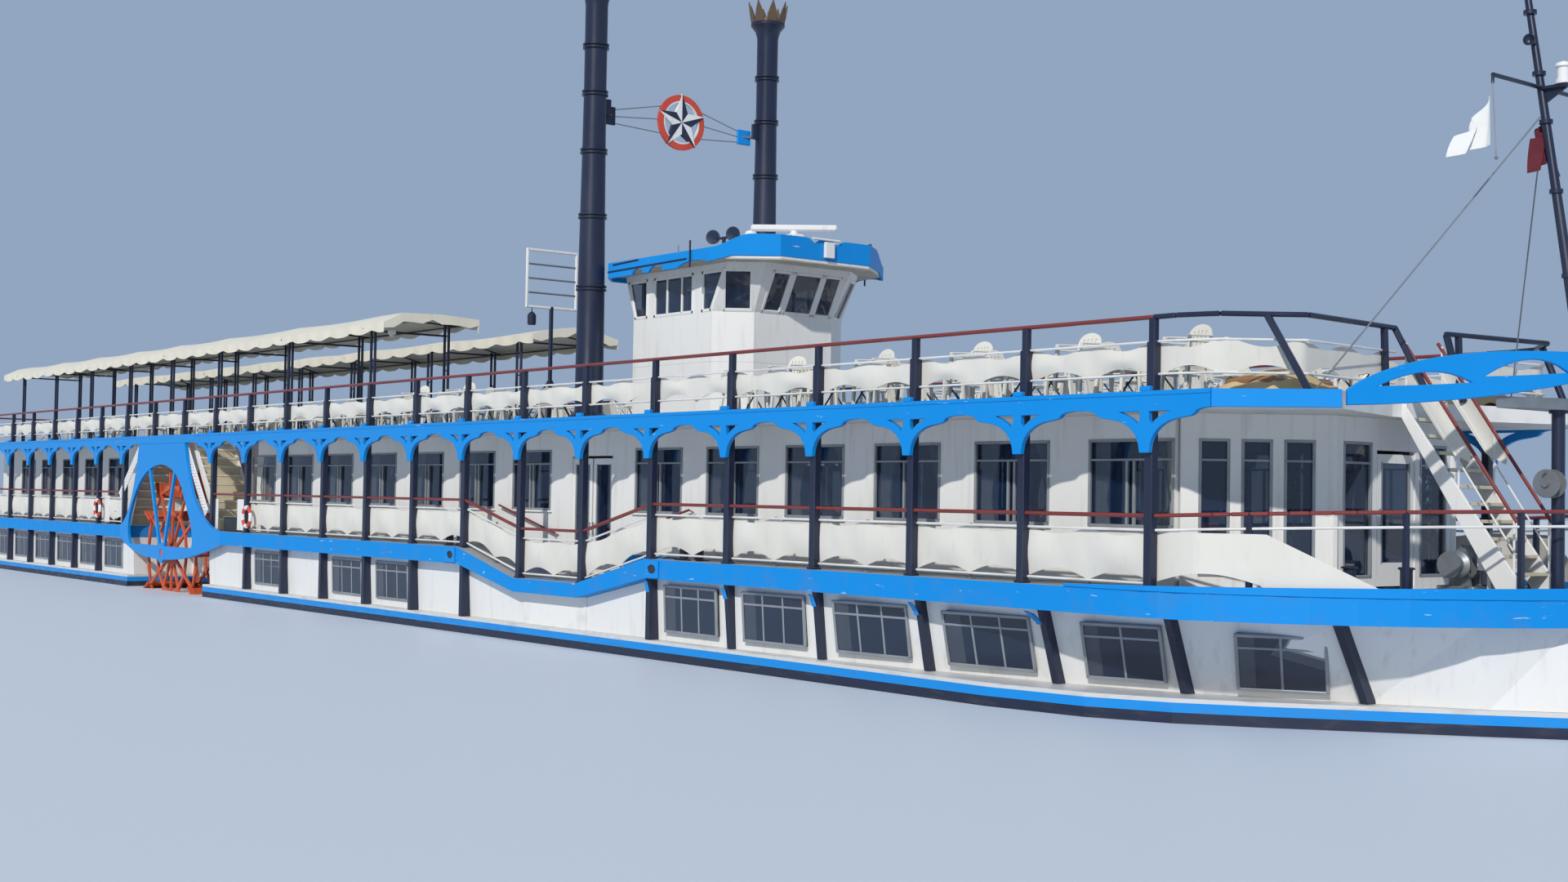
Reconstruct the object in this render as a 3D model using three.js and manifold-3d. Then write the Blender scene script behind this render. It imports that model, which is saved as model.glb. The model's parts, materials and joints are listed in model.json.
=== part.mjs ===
// A side-wheel excursion steamer as a 1:10 scale model. Every size below is the full-size ship's,
// in millimetres, and the last group scales the whole of it by SCALE.
// Axes: +X to the bow, +Y to port, +Z up. In the ship's own numbers x = 0 is the foremost deck post,
// y = 0 the centreline and z = 0 the waterline.
import * as THREE from 'three';
import { mergeVertices } from 'three/addons/utils/BufferGeometryUtils.js';
import Module from 'manifold-3d';

const wasm = await Module();
wasm.setup();

// Driving dimensions
const SCALE = 1 / 10;
const FIT = 3;                 // gap left between pieces that touch
const FAR = 5000;              // wider than anything aboard
const PAST = 200;              // how far a cutter runs on past what it cuts
const SIDES = [['starboard', -1], ['port', 1]];

const KEEL = -1500;
const LEDGE = 360;             // top of the hull's ledge
const DECK = 1916;             // main deck's top
const DECK_THICK = 376;
const DECK_LOW = DECK - DECK_THICK;
const UPPER = 4713;            // upper deck's top
const UPPER_THICK = 243;
const ARCH_CROWN = 4465;        // underside of the arcade between brackets
const BEAM = 4400;             // half the beam over the decks
const HULL_BEAM = 4300;
const STEM = 4200;
const STERN = -63000;
const HULL_STERN = -62000;

const POST_PITCH = 2500;
const POSTS = 25;              // from x = 0 aft
const POST = 145;
const HAND_RAIL = 2970;
const UPPER_RAIL = 5770;
const RAIL = 60;
const CLOTH = 20;

const WHEEL_X = -38700;
const AXLE_Z = 1150;
const WHEEL_R = 2450;
const FLOAT_LENGTH = 1750;
const FLOAT_DEPTH = 520;
const FLOAT_THICK = 60;
const FLOATS = 12;
const AXLE_R = 110;
const HUB_R = 300;
const AXLE_SIDES = 16;
const FLOAT_INNER = 2440;      // from the centreline to the floats' inner ends
const WELL_FORE = -35500;
const WELL_AFT = -41900;
const WELL_SIDE = 2200;        // half-breadth of the hull between the wells
const FRAME_FORE = -34000;
const FRAME_AFT = -42400;
const FRAME_THICK = 85;

const DIP_TOP = 1330;          // boarding floor, lower than the deck
const DIP_THICK = 290;
const DIP_LOW = DIP_TOP - DIP_THICK;
const DIP_AFT = -17500;
const DIP_FORE = -15000;
const RAMP = 2500;
const DIP_EDGE = 10;
const PAD = 10;                // height of the tread plate that a gangway rests on

const SALOON_SIDE = 3250;      // half-breadth over the saloon walls
const SALOON_JOG = 2050;
const SALOON_FRONT = 1100;
const SALOON_CORNER = -400;
const SALOON_STERN = -59500;
const JOG_FORE = -34200;
const JOG_AFT = -43400;
const WALL = 100;
const SILL = 2780;
const HEAD = 4100;
const WINDOW = 1680;

const HOUSE_X = [-17050, -14100, -13570];   // pilothouse: aft wall, front corner, front wall
const HOUSE_HALF = [1750, 1040];            // half-breadth at the side and at the front
const HOUSE_FLOOR = 5950;
const HOUSE_SILL = 7030;
const HOUSE_HEAD = 7830;
const HOUSE_TOP = 8000;
const HOUSE_WALL = 80;

const STACK = [-17800, 2400];
const STACK_TOP = 14950;
const STAR_Z = 11800;

const AWNING = {
  fore: -25800, aft: -59000, inner: 800, outer: 3500, valance: 7150, eave: 7400, ridge: 7650,
};
const AWNING_BAYS = [-27000, -32200, -37400, -41400, -45300, -49300, -53300, -57300];
const AWNING_LEGS = [1100, 3200];

const MID = (STEM + STERN) / 2;

// Colours and surfaces, from the photograph
const PAINT = {
  white: [0xe9e6df, 0.45, 0.0], blue: [0x1492e6, 0.35, 0.0], navy: [0x1c2438, 0.4, 0.2],
  red: [0xd8432a, 0.5, 0.0], cream: [0xe8dcc0, 0.85, 0.0],
  canvas: [0xe6e0d4, 0.9, 0.0], deck: [0x8d8f90, 0.8, 0.0], steel: [0x8a8f94, 0.4, 0.7],
};

const ship = new THREE.Group();
ship.scale.setScalar(SCALE);
ship.position.set(-MID * SCALE, 0, -KEEL * SCALE);

// Solids: a closed three.js geometry becomes one that can be joined and cut
function solid(geometry) {
  const plain = geometry.index ? geometry.clone() : geometry;
  for (const name of Object.keys(plain.attributes)) {
    if (name !== 'position') plain.deleteAttribute(name);
  }
  const merged = mergeVertices(plain, 1e-3);
  return new wasm.Manifold(new wasm.Mesh({
    numProp: 3,
    vertProperties: new Float32Array(merged.attributes.position.array),
    triVerts: new Uint32Array(merged.index.array),
  }));
}

function join(solids) {
  return solids.reduce((sum, each) => sum.add(each));
}

function box(x0, x1, y0, y1, z0, z1) {
  const shape = new THREE.BoxGeometry(Math.abs(x1 - x0), Math.abs(y1 - y0), Math.abs(z1 - z0));
  shape.translate((x0 + x1) / 2, (y0 + y1) / 2, (z0 + z1) / 2);
  return solid(shape);
}

function asShape(outline) {
  return outline instanceof THREE.Shape ? outline
    : new THREE.Shape(outline.map(([u, v]) => new THREE.Vector2(u, v)));
}

function prism(outline, depth, matrix, segments = 8) {
  const settings = { depth, bevelEnabled: false, curveSegments: segments };
  const shape = new THREE.ExtrudeGeometry(asShape(outline), settings);
  return solid(shape.applyMatrix4(matrix));
}

const vector = (x, y, z) => new THREE.Vector3(x, y, z);

// An outline in x and y raised from z0 to z1
function slab(outline, z0, z1) {
  return prism(outline, z1 - z0, new THREE.Matrix4().makeTranslation(0, 0, z0));
}

// An outline in x and z as a plate from y0 to y1
function plate(outline, y0, y1) {
  const basis = new THREE.Matrix4().makeBasis(vector(1, 0, 0), vector(0, 0, 1), vector(0, -1, 0));
  const place = new THREE.Matrix4().makeTranslation(0, Math.max(y0, y1), 0);
  return prism(outline, Math.abs(y1 - y0), place.multiply(basis));
}

// An outline in y and z drawn out from x0 to x1
function section(outline, x0, x1) {
  const basis = new THREE.Matrix4().makeBasis(vector(0, 1, 0), vector(0, 0, 1), vector(1, 0, 0));
  const place = new THREE.Matrix4().makeTranslation(Math.min(x0, x1), 0, 0);
  return prism(outline, Math.abs(x1 - x0), place.multiply(basis));
}

// A square bar between two points, its sides level
function bar(from, to, wide, high = wide) {
  const start = vector(...from);
  const run = vector(...to).sub(start);
  const ahead = run.clone().normalize();
  const across = Math.abs(ahead.z) > 0.99 ? vector(0, 1, 0) : vector(0, 0, 1).cross(ahead).normalize();
  const over = ahead.clone().cross(across);
  const shape = new THREE.BoxGeometry(run.length(), wide, high);
  shape.applyMatrix4(new THREE.Matrix4().makeBasis(ahead, across, over));
  const middle = start.add(run.multiplyScalar(0.5));
  shape.translate(middle.x, middle.y, middle.z);
  return solid(shape);
}

function rod(from, to, r0, r1 = r0, sides = 12) {
  const start = vector(...from);
  const run = vector(...to).sub(start);
  const shape = new THREE.CylinderGeometry(r1, r0, run.length(), sides);
  const turn = new THREE.Quaternion().setFromUnitVectors(vector(0, 1, 0), run.clone().normalize());
  shape.applyQuaternion(turn);
  const middle = start.add(run.multiplyScalar(0.5));
  shape.translate(middle.x, middle.y, middle.z);
  return solid(shape);
}

// The outline of a run of points given a width, mitred at its corners
function ribbon(points, wide) {
  const sides = points.map(([x, y], i) => {
    const before = points[Math.max(i - 1, 0)];
    const after = points[Math.min(i + 1, points.length - 1)];
    const unit = ([ax, ay], [bx, by]) => {
      const length = Math.hypot(bx - ax, by - ay) || 1;
      return [(bx - ax) / length, (by - ay) / length];
    };
    const [ux, uy] = i ? unit(before, [x, y]) : unit([x, y], after);
    const [vx, vy] = i < points.length - 1 ? unit([x, y], after) : [ux, uy];
    const [nx, ny] = [-(uy + vy), ux + vx];
    const reach = wide / (nx * nx + ny * ny);
    return [[x + nx * reach, y + ny * reach], [x - nx * reach, y - ny * reach]];
  });
  return [...sides.map(([left]) => left), ...sides.map(([, right]) => right).reverse()];
}

// A profile of [radius, z] turned about an upright axis
function turned(profile, x, y, sides = 20) {
  const shape = new THREE.LatheGeometry(profile.map(([r, z]) => new THREE.Vector2(r, z)), sides);
  shape.rotateX(Math.PI / 2);
  shape.translate(x, y, 0);
  return solid(shape);
}

// Two like rings of points, one over the other, as one solid
function loft(low, z0, high, z1) {
  const count = low.length;
  const position = [];
  for (const [x, y] of low) position.push(x, y, z0);
  for (const [x, y] of high) position.push(x, y, z1);
  const index = [];
  for (let i = 0; i < count; i += 1) {
    const next = (i + 1) % count;
    index.push(i, next, count + next, i, count + next, count + i);
  }
  const caps = THREE.ShapeUtils.triangulateShape(low.map(([x, y]) => new THREE.Vector2(x, y)), []);
  for (const [a, b, c] of caps) {
    index.push(a, c, b, count + a, count + b, count + c);
  }
  const shape = new THREE.BufferGeometry();
  shape.setAttribute('position', new THREE.Float32BufferAttribute(position, 3));
  shape.setIndex(index);
  return solid(shape);
}

const WELD = 1;                // edges shorter than this are closed up after a join or a cut

function node(name, body, paint) {
  const mesh = body.asOriginal().simplify(WELD).getMesh();
  const shape = new THREE.BufferGeometry();
  shape.setAttribute('position', new THREE.BufferAttribute(new Float32Array(mesh.vertProperties), 3));
  shape.setIndex(new THREE.BufferAttribute(new Uint32Array(mesh.triVerts), 1));
  const [color, roughness, metalness] = PAINT[paint];
  const made = new THREE.Mesh(shape, new THREE.MeshStandardMaterial({ color, roughness, metalness }));
  made.name = name;
  ship.add(made);
}

// Both halves of a plan from one side's [x, half-breadth] points, bow first, anticlockwise seen from above
function mirrored(points) {
  const port = points.map(([x, y]) => [x, y]);
  const starboard = points.filter(([, y]) => y > 0).map(([x, y]) => [x, -y]).reverse();
  return [...port, ...starboard];
}

const postX = (index) => -POST_PITCH * index;

// Hull: flat bottomed, with a wedge bow, notched for the wheels and cut up at the stern over the rudder
const HULL_PLAN = [
  [4050, 0], [3100, 850], [1900, 1850], [900, 2700], [-200, 3500], [-1400, 4030], [-3200, HULL_BEAM],
  [-61000, HULL_BEAM], [HULL_STERN, 3700],
];
const BILGE_RISE = 1200;
const RISE_FORE = -57000;
const RAKE = { foot: 2300, top: -50 };   // where the bow's rake leaves the bottom, and its height at the stem

// A rod on the wheels' axis between two breadths
function axle([inner, outer], radius) {
  return rod([WHEEL_X, inner, AXLE_Z], [WHEEL_X, outer, AXLE_Z], radius, radius, AXLE_SIDES);
}

function wells(side, low, high) {
  return box(WELL_AFT, WELL_FORE, side * WELL_SIDE, side * FAR, low, high);
}

function hull() {
  let body = slab(mirrored(HULL_PLAN), KEEL, LEDGE);
  const below = KEEL - PAST;
  const rise = [[RISE_FORE, KEEL], [HULL_STERN - PAST, KEEL + BILGE_RISE], [HULL_STERN - PAST, below],
    [RISE_FORE, below]];
  body = body.subtract(plate(rise, -FAR, FAR));
  const rake = [[RAKE.foot, KEEL], [RAKE.foot, below], [STEM, below], [STEM, RAKE.top]];
  body = body.subtract(plate(rake, -FAR, FAR));
  for (const [, side] of SIDES) body = body.subtract(wells(side, below, LEDGE + PAST));
  const stock = rod([RUDDER.x, 0, below], [RUDDER.x, 0, RUDDER.stockTop + 60], RUDDER.stock + FIT);
  node('hull', body.subtract(stock), 'navy');
}

// Rudder: a blade on a stock that turns in the hull's raised stern
const RUDDER = {
  x: -61000, aft: 800, fore: 250, half: 45, foot: -1400, top: -760, stock: 70, stockTop: -260,
};

function rudder() {
  const { x, aft, fore, half, foot, top, stock, stockTop } = RUDDER;
  const blade = box(x - aft, x + fore, -half, half, foot, top);
  node('rudder', blade.add(rod([x, 0, top - PAST], [x, 0, stockTop], stock)), 'navy');
}

// Lower house: the white sides over the ledge, flared to the deck at the bow, with the knees on them.
// It stops at each side of the boarding landing.
// Columns: x, half-breadth at the ledge, half-breadth under the deck
const HOUSE_STATIONS = [
  [3900, 0, 0], [3100, 740, 1080], [1750, 1550, 2250], [-500, 2740, 3170], [-2500, 3350, 3720],
  [-5000, 3730, 3980], [-7500, 3960, 4080], [-10000, 4060, 4120], [-61000, 4100, 4110],
  [HULL_STERN + 200, 3500, 3500],
];
// Columns: x, half-breadth of the knee's foot, half-breadth of its head
const BOW_KNEES = [
  [1750, 1680, 2370], [-500, 2870, 3290], [-2500, 3480, 3840], [-5000, 3850, 4090], [-7500, 4060, 4200],
  [-10000, 4150, 4260],
];
const KNEE = 110;
const KNEE_SIDE = 4280;
const PLAIN_KNEES = [5, 8, 9, 10, 11, 12, 13, 18, 19, 20, 21, 22, 23, 24];
const BEARING_DEPTH = 260;     // how far the shaft's inner end runs into the house
const RAMP_CLEAR = 40;

function dipCut(side) {
  const [low, high, above] = [DIP_LOW - FIT, DECK_LOW - FIT, DECK + PAST];
  const [aft, fore] = [DIP_AFT - RAMP - RAMP_CLEAR, DIP_FORE + RAMP + RAMP_CLEAR];
  const outline = [[aft, high], [DIP_AFT, low], [DIP_FORE, low], [fore, high], [fore, above], [aft, above]];
  return plate(outline, side * (SALOON_SIDE - DIP_EDGE - FIT), side * FAR);
}

function lowerHouse() {
  const low = LEDGE + FIT;
  const high = DECK_LOW - FIT;
  const around = (column) => mirrored(HOUSE_STATIONS.map((row) => [row[0], row[column]]));
  let body = loft(around(1), low, around(2), high);
  for (const [, side] of SIDES) {
    for (const [x, foot, head] of BOW_KNEES) {
      body = body.add(section([[0, low], [side * foot, low], [side * head, high], [0, high]],
        x - KNEE / 2, x + KNEE / 2));
    }
    for (const index of PLAIN_KNEES) {
      const x = postX(index);
      body = body.add(box(x - KNEE / 2, x + KNEE / 2, 0, side * KNEE_SIDE, low, high));
    }
    body = body.subtract(wells(side, 0, DECK)).subtract(dipCut(side));
    const seat = [side * (WELL_SIDE - BEARING_DEPTH), side * (WELL_SIDE + PAST)];
    body = body.subtract(axle(seat, AXLE_R + FIT));
  }
  node('lower_house_fore', body.subtract(box(STERN, DIP_FORE + FIT, -FAR, FAR, 0, DECK)), 'white');
  node('lower_house_aft', body.subtract(box(DIP_AFT - FIT, STEM, -FAR, FAR, 0, DECK)), 'white');
}

// Main deck: a plate fore and aft of the boarding landing, each with a ramp down to it at both sides
const BOW_LINE = [
  [-3000, BEAM], [-1000, 4395], [200, 4300], [1100, 3900], [2000, 3300], [2900, 2350], [3600, 1250],
  [STEM, 0],
];
const DECK_PLAN = new THREE.SplineCurve(BOW_LINE.map(([x, y]) => new THREE.Vector2(x, y)));
const DECK_STEPS = 14;
const STERN_CORNER = [[900, BEAM], [200, 4000], [0, 3300]];   // forward of the stern, half-breadth
const BOLLARDS = [
  [2450, 1750], [1950, 2350], [-11300, 3950], [-11800, 3950], [-20700, 3950], [-21200, 3950],
];
const BOLLARD = { radius: 80, height: 380, rooted: 50 };
const RAMP_LAP = { low: 60, high: 20 };   // how far the ramp's foot and head run on into the deck

function bowPlan(inset) {
  const points = [];
  for (let i = DECK_STEPS; i >= 0; i -= 1) {
    const at = DECK_PLAN.getPoint(i / DECK_STEPS);
    const along = DECK_PLAN.getTangent(i / DECK_STEPS);
    const y = i === DECK_STEPS ? 0 : Math.max(at.y + along.x * -inset, 0);
    const x = i === DECK_STEPS ? at.x - inset * 1.3 : at.x + along.y * inset;
    points.push([x, y]);
  }
  return points;
}

// The strip from the deck at x = high down to the landing at x = low
function ramp(side, high, low) {
  const away = Math.sign(high - low);
  const lap = high + away * RAMP_LAP.low;
  const outline = [[lap, DECK_LOW], [high, DECK_LOW], [low, DIP_LOW], [low, DIP_TOP],
    [high + away * RAMP_LAP.high, DECK], [lap, DECK]];
  return plate(outline, side * (SALOON_SIDE - DIP_EDGE), side * BEAM);
}

function deckPart(name, plan, high, low) {
  let body = slab(mirrored(plan), DECK_LOW, DECK);
  for (const [, side] of SIDES) {
    body = body.subtract(box(high, low, side * SALOON_SIDE, side * FAR, DIP_LOW, DECK));
    body = body.subtract(wells(side, DIP_LOW, DECK));
    const edge = side * (BEAM - FRAME_THICK - FIT);
    body = body.subtract(box(FRAME_AFT, FRAME_FORE, edge, side * FAR, DIP_LOW, DECK));
    body = body.add(ramp(side, high, low));
    for (const [x, y] of BOLLARDS) {
      const { radius, height, rooted } = BOLLARD;
      const [root, head] = [DECK - rooted, DECK + height];
      const post = [[0, root], [radius, root], [radius, head], [0, head]];
      if ((x - low) * (high - low) > 0) body = body.add(turned(post, x, side * y, 8));
    }
  }
  node(name, body, 'blue');
}

function mainDeck() {
  const [fore, aft] = [DIP_FORE + FIT, DIP_AFT - FIT];
  deckPart('main_deck_fore', [...bowPlan(0), [fore, BEAM]], DIP_FORE + RAMP, fore);
  const corner = STERN_CORNER.map(([x, y]) => [STERN + x, y]);
  deckPart('main_deck_aft', [[aft, BEAM], ...corner], DIP_AFT - RAMP, aft);
}

// Boarding landing: the low stretch of deck between the ramps, with a tread plate outside each pair of doors
const LANDING_HALF = 4110;     // half-breadth of the block under it
const TREAD_EDGE = 50;

function landing() {
  let body = box(DIP_AFT, DIP_FORE, -LANDING_HALF, LANDING_HALF, LEDGE + FIT, DIP_TOP);
  body = body.add(box(DIP_AFT, DIP_FORE, -BEAM, BEAM, DIP_LOW, DIP_TOP));
  for (const [, side] of SIDES) {
    body = body.add(box(DIP_AFT + TREAD_EDGE, DIP_FORE - TREAD_EDGE, side * (SALOON_SIDE + TREAD_EDGE),
      side * (LANDING_HALF - 10), DIP_TOP - TREAD_EDGE, DIP_TOP + PAD));
  }
  node('boarding_landing', body, 'blue');
}

// Wheels: a shaft, two spiders, each a plate cut to spokes and two rings, and the floats across them
const WHEEL_SPIDERS = [2560, 4050];
const SPIDER_THICK = 60;
const HUB_LENGTH = 140;
const SHAFT = [1960, 4385];    // its ends, from the centreline
const SPOKE = 100;
// Columns: where an opening between the spokes starts and ends, from the axle
const SPIDER_CUTS = [[420, 1130], [1230, 1930]];
const SPIDER_R = 2030;
const ARM_R = WHEEL_R - 30;

function ring(x, y, z, radius, wide, deep, sides) {
  const shape = new THREE.Shape().absarc(0, 0, radius + deep / 2, 0, Math.PI * 2);
  shape.holes.push(new THREE.Path().absarc(0, 0, radius - deep / 2, 0, Math.PI * 2));
  const basis = new THREE.Matrix4().makeBasis(vector(1, 0, 0), vector(0, 0, 1), vector(0, -1, 0));
  const place = new THREE.Matrix4().makeTranslation(x, y + wide / 2, z);
  return prism(shape, wide, place.multiply(basis), sides);
}

function spun(body, angle) {
  const turn = new THREE.Matrix4().makeTranslation(WHEEL_X, 0, AXLE_Z)
    .multiply(new THREE.Matrix4().makeRotationY(angle))
    .multiply(new THREE.Matrix4().makeTranslation(-WHEEL_X, 0, -AXLE_Z));
  return body.transform(turn.elements);
}

// One spider, its rim a polygon with an arm standing out at the middle of each flat
function spider(side, y) {
  const at = (angle, across, out) => [
    WHEEL_X + Math.sin(angle) * out + Math.cos(angle) * across,
    AXLE_Z + Math.cos(angle) * out - Math.sin(angle) * across];
  const slope = Math.tan(Math.PI / FLOATS);
  const outline = [];
  const holes = [];
  for (let i = 0; i < FLOATS; i += 1) {
    const arm = (i / FLOATS) * Math.PI * 2;
    outline.push(at(arm, -slope * SPIDER_R, SPIDER_R), at(arm, -SPOKE / 2, SPIDER_R));
    outline.push(at(arm, -SPOKE / 2, ARM_R), at(arm, SPOKE / 2, ARM_R), at(arm, SPOKE / 2, SPIDER_R));
    const gap = arm + Math.PI / FLOATS;
    for (const [from, to] of SPIDER_CUTS) {
      const width = (r) => slope * r - SPOKE / 2;
      holes.push([at(gap, -width(from), from), at(gap, width(from), from), at(gap, width(to), to),
        at(gap, -width(to), to)]);
    }
  }
  const spread = (half) => [side * (y - half), side * (y + half)];
  const body = plate(outline, ...spread(SPIDER_THICK / 2));
  return holes.reduce((left, hole) => left.subtract(plate(hole, ...spread(SPIDER_THICK))), body);
}

function paddleWheel(name, side) {
  const half = FLOAT_THICK / 2;
  const float = box(WHEEL_X - half, WHEEL_X + half, side * FLOAT_INNER, side * (FLOAT_INNER + FLOAT_LENGTH),
    AXLE_Z + WHEEL_R - FLOAT_DEPTH, AXLE_Z + WHEEL_R);
  const parts = [axle(SHAFT.map((y) => side * y), AXLE_R)];
  for (const y of WHEEL_SPIDERS) {
    parts.push(axle([side * (y - HUB_LENGTH / 2), side * (y + HUB_LENGTH / 2)], HUB_R));
    parts.push(spider(side, y));
  }
  for (let i = 0; i < FLOATS; i += 1) parts.push(spun(float, (i / FLOATS) * Math.PI * 2));
  node(name, join(parts), 'red');
}

// Wheel frames: the open plate at each side that carries the shaft's outer end. Columns of the struts: x and
// z at the head, x and z at the foot
const FRAME_STRUTS = [[-39900, 3700, -38850, 1250], [-37750, 3720, -38550, 1250]];

function wheelFrame(name, side) {
  const low = DECK_LOW;
  const top = ARCH_CROWN - FIT;
  const shape = new THREE.Shape();
  shape.moveTo(FRAME_AFT + FIT, low);
  shape.quadraticCurveTo(-41000, 960, -38700, 955);
  shape.quadraticCurveTo(-36400, 960, FRAME_FORE - FIT, low);
  shape.lineTo(FRAME_FORE - FIT, DECK);
  shape.quadraticCurveTo(-36250, 2050, -36950, top);
  shape.lineTo(-40850, top);
  shape.quadraticCurveTo(-41300, 2250, FRAME_AFT + FIT, DECK);
  const hole = new THREE.Path();
  hole.moveTo(-41450, 1370);
  hole.quadraticCurveTo(-42000, 1900, -41150, 2850);
  hole.quadraticCurveTo(-40400, 3780, -38900, 3830);
  hole.quadraticCurveTo(-37450, 3780, -36900, 2850);
  hole.quadraticCurveTo(-35900, 1700, -36250, 1370);
  hole.lineTo(-41450, 1370);
  shape.holes.push(hole);
  const y0 = side * (BEAM - FRAME_THICK);
  const y1 = side * BEAM;
  let body = plate(shape, y0, y1);
  const middle = (y0 + y1) / 2;
  for (const [x0, z0, x1, z1] of FRAME_STRUTS) {
    body = body.add(bar([x0, middle, z0], [x1, middle, z1], 70, 130));
  }
  body = body.add(axle([y0, y1], HUB_R));
  body = body.subtract(axle([y0 - side * PAST, y1 + side * PAST], AXLE_R + FIT));
  node(name, body, 'blue');
}

// Saloon: side walls that jog in round the wheels, a chamfered front and a stern wall, all with windows
const DOOR_X = (DIP_AFT + DIP_FORE) / 2;
const DOOR_HALF = 800;
const DOOR_HEAD = 3900;
const WALL_LOW = DECK + FIT;
const WALL_HIGH = UPPER - UPPER_THICK - FIT;
const JOG_CLEAR = 400;
const JOG_WINDOWS = { xs: [-36000, WHEEL_X, -41400], wide: 1200, sill: 2900, head: 3900 };
const UNDER_LEAF = 55;

function saloonSide(name, side) {
  const half = SALOON_SIDE - WALL / 2;
  const jog = SALOON_JOG - WALL / 2;
  const y = (value) => side * value;
  let body = box(SALOON_CORNER, JOG_FORE, y(SALOON_SIDE), y(SALOON_SIDE - WALL), WALL_LOW, WALL_HIGH);
  body = body.add(box(JOG_FORE, JOG_FORE + WALL, y(half), y(SALOON_JOG - WALL), WALL_LOW, WALL_HIGH));
  body = body.add(box(JOG_FORE + WALL, JOG_AFT - WALL, y(SALOON_JOG), y(SALOON_JOG - WALL), WALL_LOW,
    WALL_HIGH));
  body = body.add(box(JOG_AFT, JOG_AFT - WALL, y(half), y(SALOON_JOG - WALL), WALL_LOW, WALL_HIGH));
  body = body.add(box(JOG_AFT, SALOON_STERN, y(SALOON_SIDE), y(SALOON_SIDE - WALL), WALL_LOW, WALL_HIGH));
  body = body.add(box(DIP_AFT, DIP_FORE, y(SALOON_SIDE - FIT), y(SALOON_SIDE - WALL), DIP_TOP + FIT,
    WALL_LOW + WALL));
  const cut = (x0, x1, z0, z1) => {
    body = body.subtract(box(x0, x1, y(SALOON_SIDE - PAST), y(SALOON_SIDE + PAST), z0, z1));
  };
  for (let bay = 0; bay < POSTS - 1; bay += 1) {
    const x = postX(bay + 0.5);
    const wheelBay = x < JOG_FORE + JOG_CLEAR && x > JOG_AFT - JOG_CLEAR;
    const ahead = x > SALOON_STERN + WINDOW / 2;
    if (!wheelBay && x !== DOOR_X && ahead) cut(x - WINDOW / 2, x + WINDOW / 2, SILL, HEAD);
  }
  cut(DOOR_X - DOOR_HALF, DOOR_X + DOOR_HALF, DIP_TOP - PAST, DOOR_HEAD + UNDER_LEAF);
  const { xs, wide, sill, head } = JOG_WINDOWS;
  for (const x of xs) {
    body = body.subtract(box(x - wide / 2, x + wide / 2, y(jog - PAST), y(jog + PAST), sill, head));
  }
  node(name, body, 'white');
}

const FRONT_HALF = 1500;
const FRONT_DOOR = 490;
const FRONT_DOOR_HEAD = 3990;
const PILLAR = 90;
const TALL_PANE = { low: 2100, high: 4100, edges: [620, 1300] };   // edges: from the centreline
// Tall panes in each chamfer. Columns: share of the chamfer's length at the pane's two edges
const CHAMFER_PANES = [[0.12, 0.32], [0.4, 0.6], [0.68, 0.88]];

function saloonFront() {
  const side = SALOON_SIDE - WALL / 2;
  const x0 = SALOON_CORNER + WALL / 2 + FIT;
  const x1 = SALOON_FRONT - WALL / 2;
  const run = [[x0, side], [x1, FRONT_HALF], [x1, -FRONT_HALF], [x0, -side]];
  let body = slab(ribbon(run, WALL), WALL_LOW, WALL_HIGH);
  for (const sign of [-1, 1]) {
    const corner = sign * FRONT_HALF;
    body = body.add(rod([x1, corner, WALL_LOW], [x1, corner, WALL_HIGH], PILLAR, PILLAR, 8));
    const [from, to] = TALL_PANE.edges;
    body = body.subtract(box(x1 - PAST, x1 + PAST, sign * from, sign * to, TALL_PANE.low, TALL_PANE.high));
  }
  body = body.subtract(box(x1 - PAST, x1 + PAST, -FRONT_DOOR, FRONT_DOOR, DECK, FRONT_DOOR_HEAD));
  body = body.subtract(box(x0 - PAST, SALOON_CORNER + FIT, -FAR, FAR, 0, UPPER));
  const middle = (TALL_PANE.low + TALL_PANE.high) / 2;
  for (const sign of [-1, 1]) {
    const at = (share) => [x0 + (x1 - x0) * share, sign * (side + (FRONT_HALF - side) * share), middle];
    for (const [from, to] of CHAMFER_PANES) {
      body = body.subtract(bar(at(from), at(to), 2 * PAST, TALL_PANE.high - TALL_PANE.low));
    }
  }
  node('saloon_front', body, 'white');
}

function saloonStern() {
  const half = SALOON_SIDE - FIT;
  let body = box(SALOON_STERN - FIT, SALOON_STERN - WALL, -half, half, WALL_LOW, WALL_HIGH);
  for (const y of [-2200, 2200, 0]) {
    body = body.subtract(box(SALOON_STERN - PAST, SALOON_STERN + PAST, y - 700, y + 700, SILL, HEAD));
  }
  node('saloon_stern', body, 'white');
}

// Doors: glazed leaves, each hinged at one edge
const STILE = { side: 110, foot: 350, head: 130 };

function doorLeaf(name, x0, x1, y0, y1, z0, z1) {
  const alongX = Math.abs(x1 - x0) > Math.abs(y1 - y0);
  const [inX, inY] = alongX ? [STILE.side, -PAST] : [-PAST, STILE.side];
  const [xa, xb] = [Math.min(x0, x1), Math.max(x0, x1)];
  const [ya, yb] = [Math.min(y0, y1), Math.max(y0, y1)];
  const pane = box(xa + inX, xb - inX, ya + inY, yb - inY, z0 + STILE.foot, z1 - STILE.head);
  node(name, box(x0, x1, y0, y1, z0, z1).subtract(pane), 'white');
}

const LEAF = 50;
const HINGE_GAP = 3;     // between a leaf's hinged edge and its jamb
const LATCH_GAP = 40;
const LEAF_IN = 30;            // from a wall's face to the face of its leaf
const HOUSE_DOOR = 390;

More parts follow.
